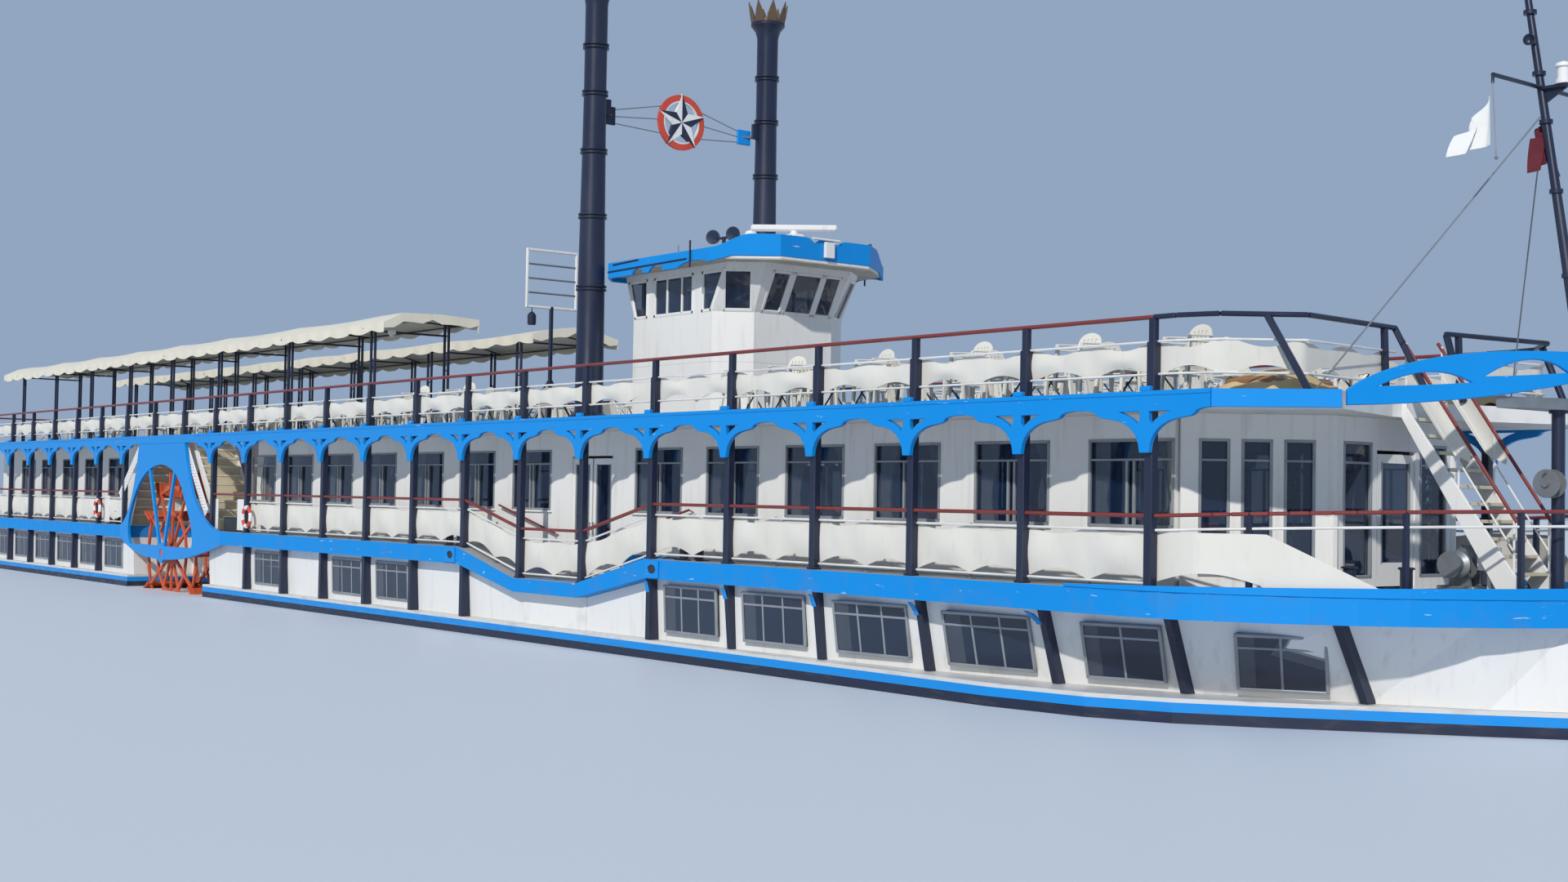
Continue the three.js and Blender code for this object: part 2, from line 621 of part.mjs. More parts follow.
function doors() {
  for (const [name, side] of SIDES) {
    const y = side * (SALOON_SIDE - LEAF_IN);
    for (const [which, sign] of [['fore', 1], ['aft', -1]]) {
      const ends = [DOOR_X + sign * LATCH_GAP * 0.75, DOOR_X + sign * (DOOR_HALF - HINGE_GAP)];
      doorLeaf(`boarding_door_${name}_${which}`, ...ends, y, y - side * LEAF, DIP_TOP + PAD + UNDER_LEAF,
        DOOR_HEAD);
    }
  }
  const front = SALOON_FRONT - 20;
  doorLeaf('front_door', front, front - LEAF, LATCH_GAP - FRONT_DOOR, FRONT_DOOR - HINGE_GAP,
    DECK + UNDER_LEAF, FRONT_DOOR_HEAD - UNDER_LEAF);
  doorLeaf('pilothouse_door', HOUSE_X[0], HOUSE_X[0] + LEAF, LATCH_GAP - HOUSE_DOOR, HOUSE_DOOR - HINGE_GAP,
    HOUSE_FLOOR + UNDER_LEAF, HOUSE_HEAD - UNDER_LEAF);
}

// Upper deck: one plate with stair openings, its edge hidden by the fascias
const CHAMFER = [[1180, BEAM], [2450, 3300]];
const FASCIA = 85;
const STAIRS = [['fore', -34900, -37000], ['aft', -42650, -41150]];   // x at the foot and at the head
const STAIR_SIDE = [2900, 4100];
const STAIR_WELL = { past: 120, run: 1500, beside: 60 };
const BOW_STAIR = { head: 1350, foot: 3350, half: 480, past: 153 };
const DECK_NOSE = [[1500, 0], [1500, 700], [2000, 2200]];
const DECK_STERN = -60500;

function upperDeck() {
  const low = UPPER - UPPER_THICK;
  const edge = BEAM - FASCIA - FIT;
  const [[ax, ay], [bx, by]] = CHAMFER;
  const corners = [[bx - 90, by - 80], [ax - 40, ay - FASCIA - FIT], [DECK_STERN, edge]];
  const plan = mirrored([...DECK_NOSE, ...corners]);
  let body = slab(plan, low, UPPER);
  for (const [, side] of SIDES) {
    for (const [, foot, head] of STAIRS) {
      const aftward = Math.sign(head - foot);
      const { past, run, beside } = STAIR_WELL;
      body = body.subtract(box(head + aftward * past, head - aftward * run, side * (STAIR_SIDE[0] - beside),
        side * (STAIR_SIDE[1] + beside), low - PAST, UPPER + PAST));
    }
  }
  node('upper_deck', body, 'white');
}

// Arcades: the blue fascia along each side, with a bracket at every post and a three-lobed arch between.
// Columns: distance from the post, height
const BRACKET = [[100, 3850], [150, 4040], [400, 4245], [770, 4345], [930, 4425], [1080, ARCH_CROWN]];
const ARCADE_END = -60600;

function arcade(name, side) {
  const low = ARCH_CROWN + 10;
  const outline = [[ARCADE_END, UPPER], [ARCADE_END, low]];
  for (let index = POSTS - 1; index >= 0; index -= 1) {
    const x = postX(index);
    if (Math.abs(x - WHEEL_X) < POST_PITCH) continue;
    const aft = index === POSTS - 1 ? BRACKET.slice(0, 3) : BRACKET;
    outline.push(...aft.map(([dx, z]) => [x - dx, z]).reverse());
    outline.push(...BRACKET.map(([dx, z]) => [x + dx, z]));
  }
  outline.push([CHAMFER[0][0], low], [CHAMFER[0][0], UPPER]);
  let body = plate(outline, side * (BEAM - FASCIA), side * BEAM);
  const [[ax, ay], [bx, by]] = CHAMFER;
  const middle = (low + UPPER) / 2;
  const at = (x, y) => [x, side * (y - FASCIA / 2), middle];
  body = body.add(bar(at(ax - 20, ay), at(bx, by), FASCIA, UPPER - low));
  node(name, body, 'blue');
}

// Bow board: the crested blue board from the deck's corners to a peak at the centreline, with oval openings.
// Columns of the openings: where they start and end, as shares of the length, and their foot and top
const BOARD_HOLES = [[0.17, 0.5, 4790, 5000], [0.57, 0.92, 4900, 5170]];
const BOARD_THICK = 70;
const BOARD_PEAK = 3960;

function bowBoard() {
  const [bx, by] = [CHAMFER[1][0] + 30, CHAMFER[1][1] - 110];
  const length = Math.hypot(BOARD_PEAK - bx, by);
  const pieces = [];
  for (const [, side] of SIDES) {
    const shape = new THREE.Shape();
    shape.moveTo(0, 4500);
    shape.quadraticCurveTo(length * 0.55, 4540, length, 4800);
    shape.lineTo(length, 5330);
    shape.bezierCurveTo(length * 0.62, 5330, length * 0.2, 5180, 60, 4760);
    shape.lineTo(0, UPPER);
    for (const [from, to, low, high] of BOARD_HOLES) {
      const hole = new THREE.Path();
      hole.moveTo(length * from, low);
      hole.quadraticCurveTo(length * (from + to) / 2, low + 10, length * to, low + 60);
      hole.quadraticCurveTo(length * (from + to) / 2 + 120, high + 120, length * from, low);
      shape.holes.push(hole);
    }
    const ahead = vector(BOARD_PEAK - bx, -side * by, 0).normalize();
    const across = vector(0, 0, 1).cross(ahead);
    const basis = new THREE.Matrix4().makeBasis(ahead, vector(0, 0, 1), across.clone().negate());
    const start = vector(bx, side * by, 0).addScaledVector(across, BOARD_THICK / 2);
    const place = new THREE.Matrix4().makeTranslation(start.x, start.y, start.z);
    pieces.push(prism(shape, BOARD_THICK, place.multiply(basis)));
  }
  pieces.push(box(BOARD_PEAK - 80, BOARD_PEAK + 100, -110, 110, 4790, 5400));
  node('bow_board', join(pieces), 'blue');
}

// Promenade: posts with the hand rail between them, and the cloth behind
const deckLine = [[DIP_AFT - RAMP, 0], [DIP_AFT, DIP_TOP - DECK], [DIP_FORE, DIP_TOP - DECK],
  [DIP_FORE + RAMP, 0]];

function alongDeck(fore, aft) {
  const dips = fore > DIP_FORE ? [...deckLine].reverse() : [];
  return [[fore, 0], ...dips, [aft, 0]];
}

const BOW_RISE = 0.04;          // the bow rail's climb for each millimetre forward
const TOE = 90;
const TOE_RISE = 170;           // at the stem, from nothing at TOE_START
const TOE_START = -3500;
const TOE_END = -2000;          // where the board is too low to go on

// The toe board round one side of the bow
function toeBoard(side) {
  const [inner, outer] = [bowPlan(TOE), bowPlan(0)];
  const top = DECK + TOE_RISE;
  let body = slab(mirrored([...outer, [TOE_START, BEAM]]), DECK + FIT, top);
  body = body.subtract(slab(mirrored([...inner, [TOE_START, BEAM - TOE]]), DECK, top + PAST));
  const above = [[TOE_START, DECK], [STEM, top], [STEM, top + PAST], [TOE_START, top + PAST]];
  body = body.subtract(plate(above, -FAR, FAR));
  body = body.subtract(box(TOE_START - PAST, TOE_END, -FAR, FAR, 0, top));
  return body.subtract(box(TOE_START, STEM, side * FIT / 2, -side * FAR, 0, top));
}

const POST_Y = BEAM - FASCIA - 5 - POST / 2;
const BOW_RAIL = { inset: 160, from: 500, least: 40 };
const STANCHION = 70;
const SHOE = 22;               // under the two posts that stand on the landing's edges

// The hand rail round one side of the bow, climbing to the stem, on its stanchions
function bowRail(side) {
  const { inset, from, least } = BOW_RAIL;
  const bow = bowPlan(inset).slice(0, 11).reverse().filter(([x]) => x > from);
  const rail = [[0, POST_Y], ...bow.map(([x, y]) => [x, Math.max(y, least)])];
  const line = ribbon(rail.map(([x, y]) => [x, side * y]), RAIL);
  const rise = new THREE.Matrix4().set(1, 0, 0, 0, 0, 1, 0, 0, BOW_RISE, 0, 1, 0, 0, 0, 0, 1);
  const pieces = [slab(line, HAND_RAIL - RAIL / 2, HAND_RAIL + RAIL / 2).transform(rise.elements)];
  const half = STANCHION / 2;
  for (const at of [3, rail.length - 2]) {
    const [x, y] = [rail[at][0], side * rail[at][1]];
    pieces.push(box(x - half, x + half, y - half, y + half, DECK + FIT, HAND_RAIL + x * BOW_RISE));
  }
  return pieces;
}

function promenade(name, side, first, last) {
  const pieces = [];
  const y = side * POST_Y;
  for (let index = first; index <= last; index += 1) {
    const x = postX(index);
    const drop = x <= DIP_FORE && x >= DIP_AFT ? DIP_TOP - DECK + SHOE : 0;
    pieces.push(box(x - POST / 2, x + POST / 2, y - POST / 2, y + POST / 2, DECK + drop + FIT, WALL_HIGH));
  }
  const run = alongDeck(postX(first), postX(last)).map(([x, z]) => [x, z + HAND_RAIL]);
  pieces.push(plate(ribbon(run, RAIL), y - RAIL / 2, y + RAIL / 2));
  if (first === 0) pieces.push(toeBoard(side), ...bowRail(side));
  node(name, join(pieces), 'navy');
}

const LOW_CLOTH = { foot: 60, top: 820 };      // over the main deck
const HIGH_CLOTH = { foot: 250, top: 710 };    // over the upper deck

function promenadeCloth(name, side, first, last) {
  const y = side * (POST_Y - POST / 2 - FIT);
  const run = alongDeck(postX(first), postX(last));
  const low = run.map(([x, z]) => [x, DECK + LOW_CLOTH.foot + z]);
  const high = run.map(([x, z]) => [x, DECK + LOW_CLOTH.top + z]).reverse();
  node(name, plate([...low, ...high], y, y - side * CLOTH), 'canvas');
}

// Upper rails with their posts, and the cloth behind
const UPPER_POST_Y = 4205;
const UPPER_POST = 110;
const UPPER_BOW = [[400, UPPER_POST_Y], [1000, 4000], [1750, 3050], [1500, 640]];
// Leaning bow posts. Columns: x and y at the foot, x and y at the head
const BOW_POSTS = [[1950, 3300, 1400, 3500], [1600, 1900, 1650, 1900], [1560, 700, 1500, 700]];

function upperRail(name, side) {
  const pieces = [];
  const y = side * UPPER_POST_Y;
  for (let index = 0; index < POSTS; index += 1) {
    const x = postX(index);
    pieces.push(box(x - UPPER_POST / 2, x + UPPER_POST / 2, y - UPPER_POST / 2, y + UPPER_POST / 2,
      UPPER + FIT, UPPER_RAIL));
  }
  const run = [[postX(POSTS - 1) - 200, UPPER_POST_Y], ...UPPER_BOW].map(([x, py]) => [x, side * py]);
  pieces.push(slab(ribbon(run, 70), UPPER_RAIL - 60, UPPER_RAIL + 10));
  for (const [fx, fy, hx, hy] of BOW_POSTS) {
    pieces.push(bar([fx, side * fy, UPPER + FIT + 25], [hx, side * hy, UPPER_RAIL - 10], 80));
  }
  node(name, join(pieces), 'navy');
}

function upperCloth(name, side) {
  const y = side * (UPPER_POST_Y - UPPER_POST / 2 - FIT);
  const fore = 700;
  const { foot, top } = HIGH_CLOTH;
  const body = box(postX(POSTS - 1), fore, y, y - side * CLOTH, UPPER + foot, UPPER + top);
  const middle = UPPER + (foot + top) / 2;
  const [bx, by] = UPPER_BOW[2];
  const bend = [fore - 10, y - side * CLOTH / 2, middle];
  const bow = bar(bend, [bx - 190, side * by, middle], CLOTH, top - foot);
  node(name, body.add(bow), 'canvas');
}

// Stairs: two stringers with treads between them, and on the bow stair two hand rails on their posts
const STRINGER = { deep: 260, thick: 50 };
const TREAD = { half: 110, thick: 40, inset: 15, over: 72, less: 110 };

function stairRail(foot, head, rail, low, high) {
  const lean = Math.sign(foot - head);
  const posts = [[foot - lean * 60, low + 120, low + 1110], [head + lean * 60, high - 160, high + 820]];
  const uprights = posts.map(([x, z0, z1]) => box(x - 18, x + 18, rail - 18, rail + 18, z0, z1));
  return [bar([foot - lean * 20, rail, low + 1050], [head - lean * 10, rail, high + 900], 40), ...uprights];
}

function stair(name, foot, head, y0, y1, low, high, treads, rails) {
  const pieces = [];
  const { deep, thick } = STRINGER;
  const lean = Math.sign(foot - head);
  const across = Math.sign(y1 - y0);
  for (const [y, inside] of [[y0, across], [y1, -across]]) {
    const outline = [[foot, low], [foot - lean * deep, low], [head, high - deep], [head, high],
      [foot, low + deep]];
    pieces.push(plate(outline, y, y + inside * thick));
    if (rails) pieces.push(...stairRail(foot, head, y + inside * thick / 2, low, high));
  }
  const { half, inset, over, less } = TREAD;
  for (let i = 1; i <= treads; i += 1) {
    const share = i / (treads + 1);
    const x = foot + (head - foot) * share;
    const z = low + over + (high - low - less) * share;
    pieces.push(box(x - half, x + half, y0 + across * inset, y1 - across * inset,
      z - TREAD.thick / 2, z + TREAD.thick / 2));
  }
  node(name, join(pieces), 'white');
}

function stairs() {
  for (const [name, side] of SIDES) {
    for (const [which, foot, head] of STAIRS) {
      stair(`stair_${name}_${which}`, foot, head, side * STAIR_SIDE[0], side * STAIR_SIDE[1],
        DECK + FIT, UPPER - UPPER_THICK + 100, 9, false);
    }
  }
  const { head, foot, half, past } = BOW_STAIR;
  stair('bow_stair', foot, head + past, -half, half, DECK + FIT, UPPER, 10, true);
}

// Awnings on the after upper deck, each on its own frame of legs
function awning(name, side) {
  const { fore, aft, inner, outer, valance, eave, ridge } = AWNING;
  const middle = (inner + outer) / 2;
  const low = (value) => value - CLOTH;
  const outline = [[inner, valance], [inner, eave], [middle, ridge], [outer, eave], [outer, valance],
    [outer - CLOTH, valance], [outer - CLOTH, low(eave)], [middle, low(ridge)], [inner + CLOTH, low(eave)],
    [inner + CLOTH, valance]];
  let body = section(outline.map(([y, z]) => [side * y, z]), aft, fore);
  const drop = [[inner, valance], [inner, eave], [middle, ridge], [outer, eave], [outer, valance]];
  body = body.add(section(drop.map(([y, z]) => [side * y, z]), fore, fore + CLOTH));
  node(name, body, 'cream');
}

function awningFrame(name, side) {
  const { eave, inner, outer } = AWNING;
  const top = eave - CLOTH - 60;
  const pieces = [];
  for (const x of AWNING_BAYS) {
    for (const y of AWNING_LEGS) {
      pieces.push(box(x - 35, x + 35, side * y - 35, side * y + 35, UPPER + FIT, top));
    }
    pieces.push(bar([x, side * (inner + CLOTH + FIT), top], [x, side * (outer - CLOTH - FIT), top], 50));
  }
  const y = side * AWNING_LEGS[1];
  pieces.push(bar([AWNING.aft + 60, y, top - 10], [AWNING.fore - 60, y, top - 10], 40));
  node(name, join(pieces), 'white');
}

// Stacks: tapered, ringed and crowned. Columns: radius, height
const STACK_PROFILE = [
  [0, UPPER + FIT], [420, UPPER + FIT], [420, 4900], [315, 4960], [300, 7650], [340, 7660], [340, 7760],
  [295, 7770], [278, 9260], [320, 9270], [320, 9370], [262, 10710], [305, 10720], [305, 10810], [250, 12010],
  [295, 12020], [295, 12110], [250, 13070], [300, 13080], [300, 13170], [260, 14200], [400, 14350],
  [400, 14450], [340, 14500], [340, 14600],
];
const CROWN = 8;                // leaves
const STACK_SIDES = 16;
const STACK_HEAD = 14600;
const LUG = { inner: 200, outer: 420, thick: 60, high: 360 };   // the star's plate, from the stack's axis

function stack(name, side) {
  const [x, y] = [STACK[0], side * STACK[1]];
  let body = turned([...STACK_PROFILE, [0, STACK_HEAD]], x, y, STACK_SIDES);
  for (let i = 0; i < CROWN; i += 1) {
    const angle = (i / CROWN) * Math.PI * 2;
    const spot = (radius) => [x + Math.cos(angle) * radius, y + Math.sin(angle) * radius];
    body = body.add(rod([...spot(305), STACK_HEAD - 40], [...spot(430), STACK_TOP], 70, 12, 4));
  }
  const [foot, top] = [STACK_HEAD - 300, STACK_HEAD + 100];
  body = body.subtract(turned([[0, foot], [190, foot], [190, top], [0, top]], x, y, STACK_SIDES));
  body = body.add(box(x - LUG.thick / 2, x + LUG.thick / 2, y - side * LUG.inner, y - side * LUG.outer,
    STAR_Z - LUG.high / 2, STAR_Z + LUG.high / 2));
  node(name, body, 'navy');
}

// Star: a five-pointed ornament on a ring, on wires between the stacks
const STAR = {
  r: 640, waist: 0.42, ring: 560, ringHole: 480, thick: 70, wire: 36, wireEnd: 470, spread: 120,
};

function star() {
  const shape = new THREE.Shape();
  for (let i = 0; i < 10; i += 1) {
    const r = i % 2 ? STAR.r * STAR.waist : STAR.r;
    const angle = Math.PI / 2 + (i / 10) * Math.PI * 2;
    const point = [Math.cos(angle) * r, STAR_Z + Math.sin(angle) * r];
    if (i) shape.lineTo(...point);
    else shape.moveTo(...point);
  }
  const x = STACK[0] - 100;
  const half = STAR.thick / 2;
  const pieces = [section(shape, x - half, x + half)];
  const hoop = new THREE.Shape().absarc(0, STAR_Z, STAR.ring, 0, Math.PI * 2);
  hoop.holes.push(new THREE.Path().absarc(0, STAR_Z, STAR.ringHole, 0, Math.PI * 2));
  pieces.push(section(hoop, x - half + 5, x + half - 5));
  const reach = STACK[1] - LUG.outer - FIT;
  for (const [, side] of SIDES) {
    for (const z of [STAR_Z - STAR.spread, STAR_Z + STAR.spread]) {
      pieces.push(bar([x + 90, side * reach, z], [x, side * STAR.wireEnd, z], STAR.wire));
    }
  }
  node('star_ornament', join(pieces), 'white');
}

// Pilothouse: a plain base with steps up to its door, and hollow walls. Their sides are upright; their front
// leans out over the sill, and so do the two side boards past the aft wall
const HOUSE_STEPS = 6;
const STEP_RUN = 250;
const LANDING = 850;
const HOUSE_SPRING = 7000;     // where the walls start to lean
const HOUSE_FOOT = [[HOUSE_X[2], HOUSE_HALF[1]], [HOUSE_X[1], HOUSE_HALF[0]]];   // the front's corners
const HOUSE_HEADS = [[-13050, 1140], [-13550, HOUSE_HALF[0]]];   // the same at the walls' top
const HOUSE_BOARD = -17400;    // aft end of the side boards at the walls' top
// Panes in the sides. Columns: aft and fore end at the sill, aft and fore end at the head
const SIDE_PANES = [
  [-16980, -16530, -17235, -16530], [-16230, -14810, -16230, -14810], [-14450, -14150, -14450, -13720],
];
const FRONT_PANES = [[-860, -390], [-290, 440], [520, 960]];
const CORNER_PANE = [0.28, 0.93];   // shares of the corner wall's length

// The walls' plan, moved inwards by inset, from the two corners of their front
function housePlan(inset, [[ax, ay], [bx, by]] = HOUSE_FOOT) {
  return mirrored([[ax - inset, 0], [ax - inset, ay - inset * 0.4], [bx - inset * 0.4, by - inset],
    [HOUSE_X[0] + inset, HOUSE_HALF[0] - inset]]);
}

function pilothouseBase() {
  let base = slab(housePlan(0), UPPER + FIT, HOUSE_FLOOR);
  for (let i = 0; i < HOUSE_STEPS; i += 1) {
    const aft = HOUSE_X[0] - LANDING - STEP_RUN * i;
    const top = HOUSE_FLOOR - (HOUSE_FLOOR - UPPER) * (i / HOUSE_STEPS);
    base = base.add(box(aft, aft + STEP_RUN + (i ? 0 : LANDING) + 20, -450, 450, UPPER + FIT, top));
  }
  node('pilothouse_base', base, 'white');
}

function pilothouseWalls() {
  const shell = (inset, low, high) => slab(housePlan(inset), low, HOUSE_SPRING)
    .add(loft(housePlan(inset), HOUSE_SPRING, housePlan(inset, HOUSE_HEADS), high));
  let walls = shell(0, HOUSE_FLOOR + FIT, HOUSE_TOP).subtract(shell(HOUSE_WALL, HOUSE_FLOOR, HOUSE_TOP + 1));
  const [half, corner] = [HOUSE_HALF[0], HOUSE_HALF[1]];
  const board = [[HOUSE_X[0] + 40, HOUSE_SPRING], [HOUSE_BOARD, HOUSE_TOP], [HOUSE_X[0] + 40, HOUSE_TOP]];
  for (const [, side] of SIDES) {
    walls = walls.add(plate(board, side * half, side * (half - HOUSE_WALL)));
    for (const [aft, fore, topAft, topFore] of SIDE_PANES) {
      const pane = [[aft, HOUSE_SILL], [fore, HOUSE_SILL], [topFore, HOUSE_HEAD], [topAft, HOUSE_HEAD]];
      walls = walls.subtract(plate(pane, side * (half - PAST), side * (half + PAST)));
    }
    const middle = (HOUSE_SILL + HOUSE_HEAD) / 2;
    const at = (share) => [HOUSE_X[1] + (HOUSE_X[2] - HOUSE_X[1]) * share,
      side * (half + (corner - half) * share), middle];
    const [from, to] = CORNER_PANE.map(at);
    walls = walls.subtract(bar(from, to, 7 * PAST, HOUSE_HEAD - HOUSE_SILL));
  }
  for (const [from, to] of FRONT_PANES) {
    const [aft, fore] = [HOUSE_X[2] - 2 * PAST, HOUSE_X[2] + 4 * PAST];
    walls = walls.subtract(box(aft, fore, from, to, HOUSE_SILL, HOUSE_HEAD));
  }
  const doorway = box(HOUSE_X[0] - PAST, HOUSE_X[0] + PAST, -HOUSE_DOOR, HOUSE_DOOR, HOUSE_FLOOR, HOUSE_HEAD);
  node('pilothouse_walls', walls.subtract(doorway), 'white');
}

// The roof: a slab with a low board round its sides that sweeps up into a tall one over the front. The two
// plans are the board's outer and inner faces
const ROOF_PLAN = [[-12500, 0], [-12500, 1200], [-13400, 2350], [-17200, 2350], [-17700, 1950]];
const ROOF_INNER = [[-12560, 0], [-12560, 1175], [-13430, 2290], [-17175, 2290], [-17640, 1925]];
const ROOF_THICK = 90;
const EAVE_FOOT = { side: 7880, front: 8060, turn: [-13400, -13100] };
const EAVE_TOP = [[-13420, 8220], [-13150, 8450], [-12900, 8500], [-12300, 8510]];
const roofTop = HOUSE_TOP + ROOF_THICK;

function pilothouseRoof() {
  const { side, front, turn: [low, high] } = EAVE_FOOT;
  const [aft, fore] = [ROOF_PLAN[4][0] - PAST, ROOF_PLAN[0][0] + PAST];
  const top = EAVE_TOP[EAVE_TOP.length - 1][1];
  const rim = slab(mirrored(ROOF_PLAN), side, top).subtract(slab(mirrored(ROOF_INNER), side - 1, top + 1));
  const above = [[aft, EAVE_TOP[0][1]], ...EAVE_TOP, [fore, top + PAST], [aft, top + PAST]];
  const below = [[low, side], [low, side - PAST], [fore, side - PAST], [fore, front], [high, front]];
  const board = rim.subtract(plate(above, -FAR, FAR)).subtract(plate(below, -FAR, FAR));
  node('pilothouse_roof', slab(mirrored(ROOF_PLAN), HOUSE_TOP + FIT, roofTop).add(board), 'blue');
}

function helmStand() {
  const desk = box(-14250, -13950, -900, 900, HOUSE_FLOOR + FIT, 6950);
  const [x, z, r, thick] = [-14450, 6900, 380, 36];
  const turn = new THREE.Matrix4().makeRotationZ(Math.PI / 2);
  const place = new THREE.Matrix4().makeTranslation(x, 0, z).multiply(turn);
  const helm = ring(0, 0, 0, r, 50, 60, 12).transform(place.elements);
  const spokes = [0, 1, 2].map((i) => {
    const angle = (i / 3) * Math.PI;
    const [dy, dz] = [Math.cos(angle) * r, Math.sin(angle) * r];
    return bar([x, -dy, z - dz], [x, dy, z + dz], thick);
  });
  node('helm', join([desk, helm, ...spokes, bar([x - 20, 0, z], [x + 250, 0, z], 60)]), 'deck');
}

// Radar: a post on the roof with a bar scanner that turns on it, at rest askew as in the photograph
const RADAR = { at: [-13600, 0, 8780], askew: -41, length: 1840, r: 60, head: 180 };

function radar() {
  const [x, y, z] = RADAR.at;
  const { r, head, length } = RADAR;
  const foot = roofTop + FIT;
  node('radar_post', rod([x, y, foot], [x, y, z - 50], r).add(rod([x, y, foot], [x, y, foot + 40], 200))
    .add(box(x - head, x + head, y - head, y + head, z - 200, z - 50)), 'white');
  const angle = THREE.MathUtils.degToRad(90 + RADAR.askew);
  const [dx, dy] = [Math.cos(angle) * length / 2, Math.sin(angle) * length / 2];
  node('radar_scanner', bar([x - dx, y - dy, z + 75], [x + dx, y + dy, z + 75], 140, 150)
    .add(rod([x, y, z - 47], [x, y, z + 20], r)), 'white');
}

// Round lamps: two on an arm at each side of the roof
const LAMPS = { x: -13650, y: 1800, fore: -13300, aft: -14000, z: 8500, r: 140 };

function searchlights() {
  const { x, fore, aft, z, r } = LAMPS;
  for (const [name, side] of SIDES) {
    const y = side * LAMPS.y;
    const post = rod([x, y, roofTop + FIT], [x, y, z], 45);
    const arm = bar([aft, y, z], [fore, y, z], 60);
    const [face, back] = [y + side * 70, y - side * 90];
    const lamps = [aft, fore].map((at) => rod([at, face, z], [at, back, z], r, r * 0.7, 14));
    node(`searchlight_${name}`, join([post, arm, ...lamps]), 'steel');
  }
}

// Signal frame: a small lattice of dark bars in a white rectangle, on one leg
const SIGNAL = { x: -19800, y: [-2900, -1500], z: [7400, 8700], bar: 60, rail: 50, leg: 80 };

function signalFrame() {
  const { x, y: [y0, y1], z: [z0, z1], bar: wide, rail, leg } = SIGNAL;
  const upright = (y) => box(x - wide / 2, x + wide / 2, y, y + wide, z0, z1);
  const level = (z) => box(x - wide / 2, x + wide / 2, y0, y1, z, z + wide);
  const pieces = [level(z0), level(z1 - wide), upright(y0), upright(y1 - wide)];
  for (const share of [0.25, 0.5, 0.75]) {
    const z = z0 + (z1 - z0) * share;
    pieces.push(box(x - 20, x + 20, y0 + 10, y1 - 10, z - rail / 2, z + rail / 2));
  }
  const middle = (y0 + y1) / 2;
  pieces.push(box(x - leg / 2, x + leg / 2, middle - leg / 2, middle + leg / 2, UPPER + FIT, z1));
  node('signal_frame', join(pieces), 'white');
}

// Bow mast: raked, stepped on the bow board's peak, with a yard, a lamp bracket and two stays
const MAST = { foot: [3975, 0, 5403], head: [3050, 0, 11300], r: 75, headR: 45, shoe: 85 };
const YARD = { z: 9090, half: 1250, thick: 60 };
const LAMP_BRACKET = { reach: 420, at: 330, r: 110, high: 330 };
const STAY = { z: 8700, foot: [1450, 2500], thick: 22, plate: 40 };

function bowMast() {
  const { foot, head, r, headR, shoe } = MAST;
  const at = (z) => foot[0] + (head[0] - foot[0]) * (z - foot[2]) / (head[2] - foot[2]);
  const [yx, yz, thick] = [at(YARD.z), YARD.z, YARD.thick];
  const lamp = yx + LAMP_BRACKET.at;
  const pieces = [
    rod([foot[0], 0, foot[2] + 12], head, r, headR),
    box(foot[0] - shoe, foot[0] + shoe, -100, 100, foot[2], foot[2] + 60),
    bar([yx, -YARD.half, yz], [yx, YARD.half, yz], thick),
    box(yx, yx + LAMP_BRACKET.reach, -thick, thick, yz - thick, yz + 10),
    rod([lamp, 0, yz], [lamp, 0, yz + LAMP_BRACKET.high], LAMP_BRACKET.r, LAMP_BRACKET.r, 10),
  ];
  const [sx, sy] = STAY.foot;
  const half = STAY.plate;
  for (const [, side] of SIDES) {
    pieces.push(bar([at(STAY.z), side * 20, STAY.z], [sx, side * sy, UPPER + 30], STAY.thick));
    pieces.push(box(sx - half, sx + half, side * (sy - half), side * (sy + half), UPPER + FIT, UPPER + 60));
  }
  node('bow_mast', join(pieces), 'navy');
}

// Windlass on the foredeck: a gearbox between two cheeks, and a warping drum at each end of its shaft
const WINDLASS = { x: 2350, bed: 120, axis: 420, shaft: 70, drum: 190, drumEnds: [330, 560], cheek: 280 };

function windlass() {
  const { x, bed, axis, shaft, drum, cheek } = WINDLASS;
  const z = DECK + FIT;
  const along = (from, to, radius) => rod([x, from, z + axis], [x, to, z + axis], radius, radius, 14);
  const base = box(x - 300, x + 300, -420, 420, z, z + bed);
  const pieces = [base, box(x - 220, x + 220, -90, 90, z + 60, z + 620), along(-520, 520, shaft)];
  for (const [, side] of SIDES) {
    const [inner, outer] = WINDLASS.drumEnds;
    pieces.push(along(side * inner, side * outer, drum));
    pieces.push(box(x - 160, x + 160, side * cheek - 30, side * cheek + 30, z + 60, z + 560));
  }
  node('windlass', join(pieces), 'steel');
}

hull();
rudder();
lowerHouse();
mainDeck();
landing();
saloonFront();
saloonStern();
upperDeck();
bowBoard();
stairs();
doors();
star();
pilothouseBase();
pilothouseWalls();
pilothouseRoof();
helmStand();
radar();
searchlights();
signalFrame();
bowMast();
windlass();
for (const [name, side] of SIDES) {
  paddleWheel(`wheel_${name}`, side);
  wheelFrame(`wheel_frame_${name}`, side);
  saloonSide(`saloon_${name}`, side);
  arcade(`arcade_${name}`, side);
  promenade(`promenade_${name}_fore`, side, 0, 14);
  promenade(`promenade_${name}_aft`, side, 17, 24);
  promenadeCloth(`rail_cloth_${name}_fore`, side, 0, 13);
  promenadeCloth(`rail_cloth_${name}_aft`, side, 17, 24);
  upperRail(`upper_rail_${name}`, side);
  upperCloth(`upper_cloth_${name}`, side);
  awning(`awning_${name}`, side);
  awningFrame(`awning_frame_${name}`, side);
  stack(`stack_${name}`, side);
}

export default ship;
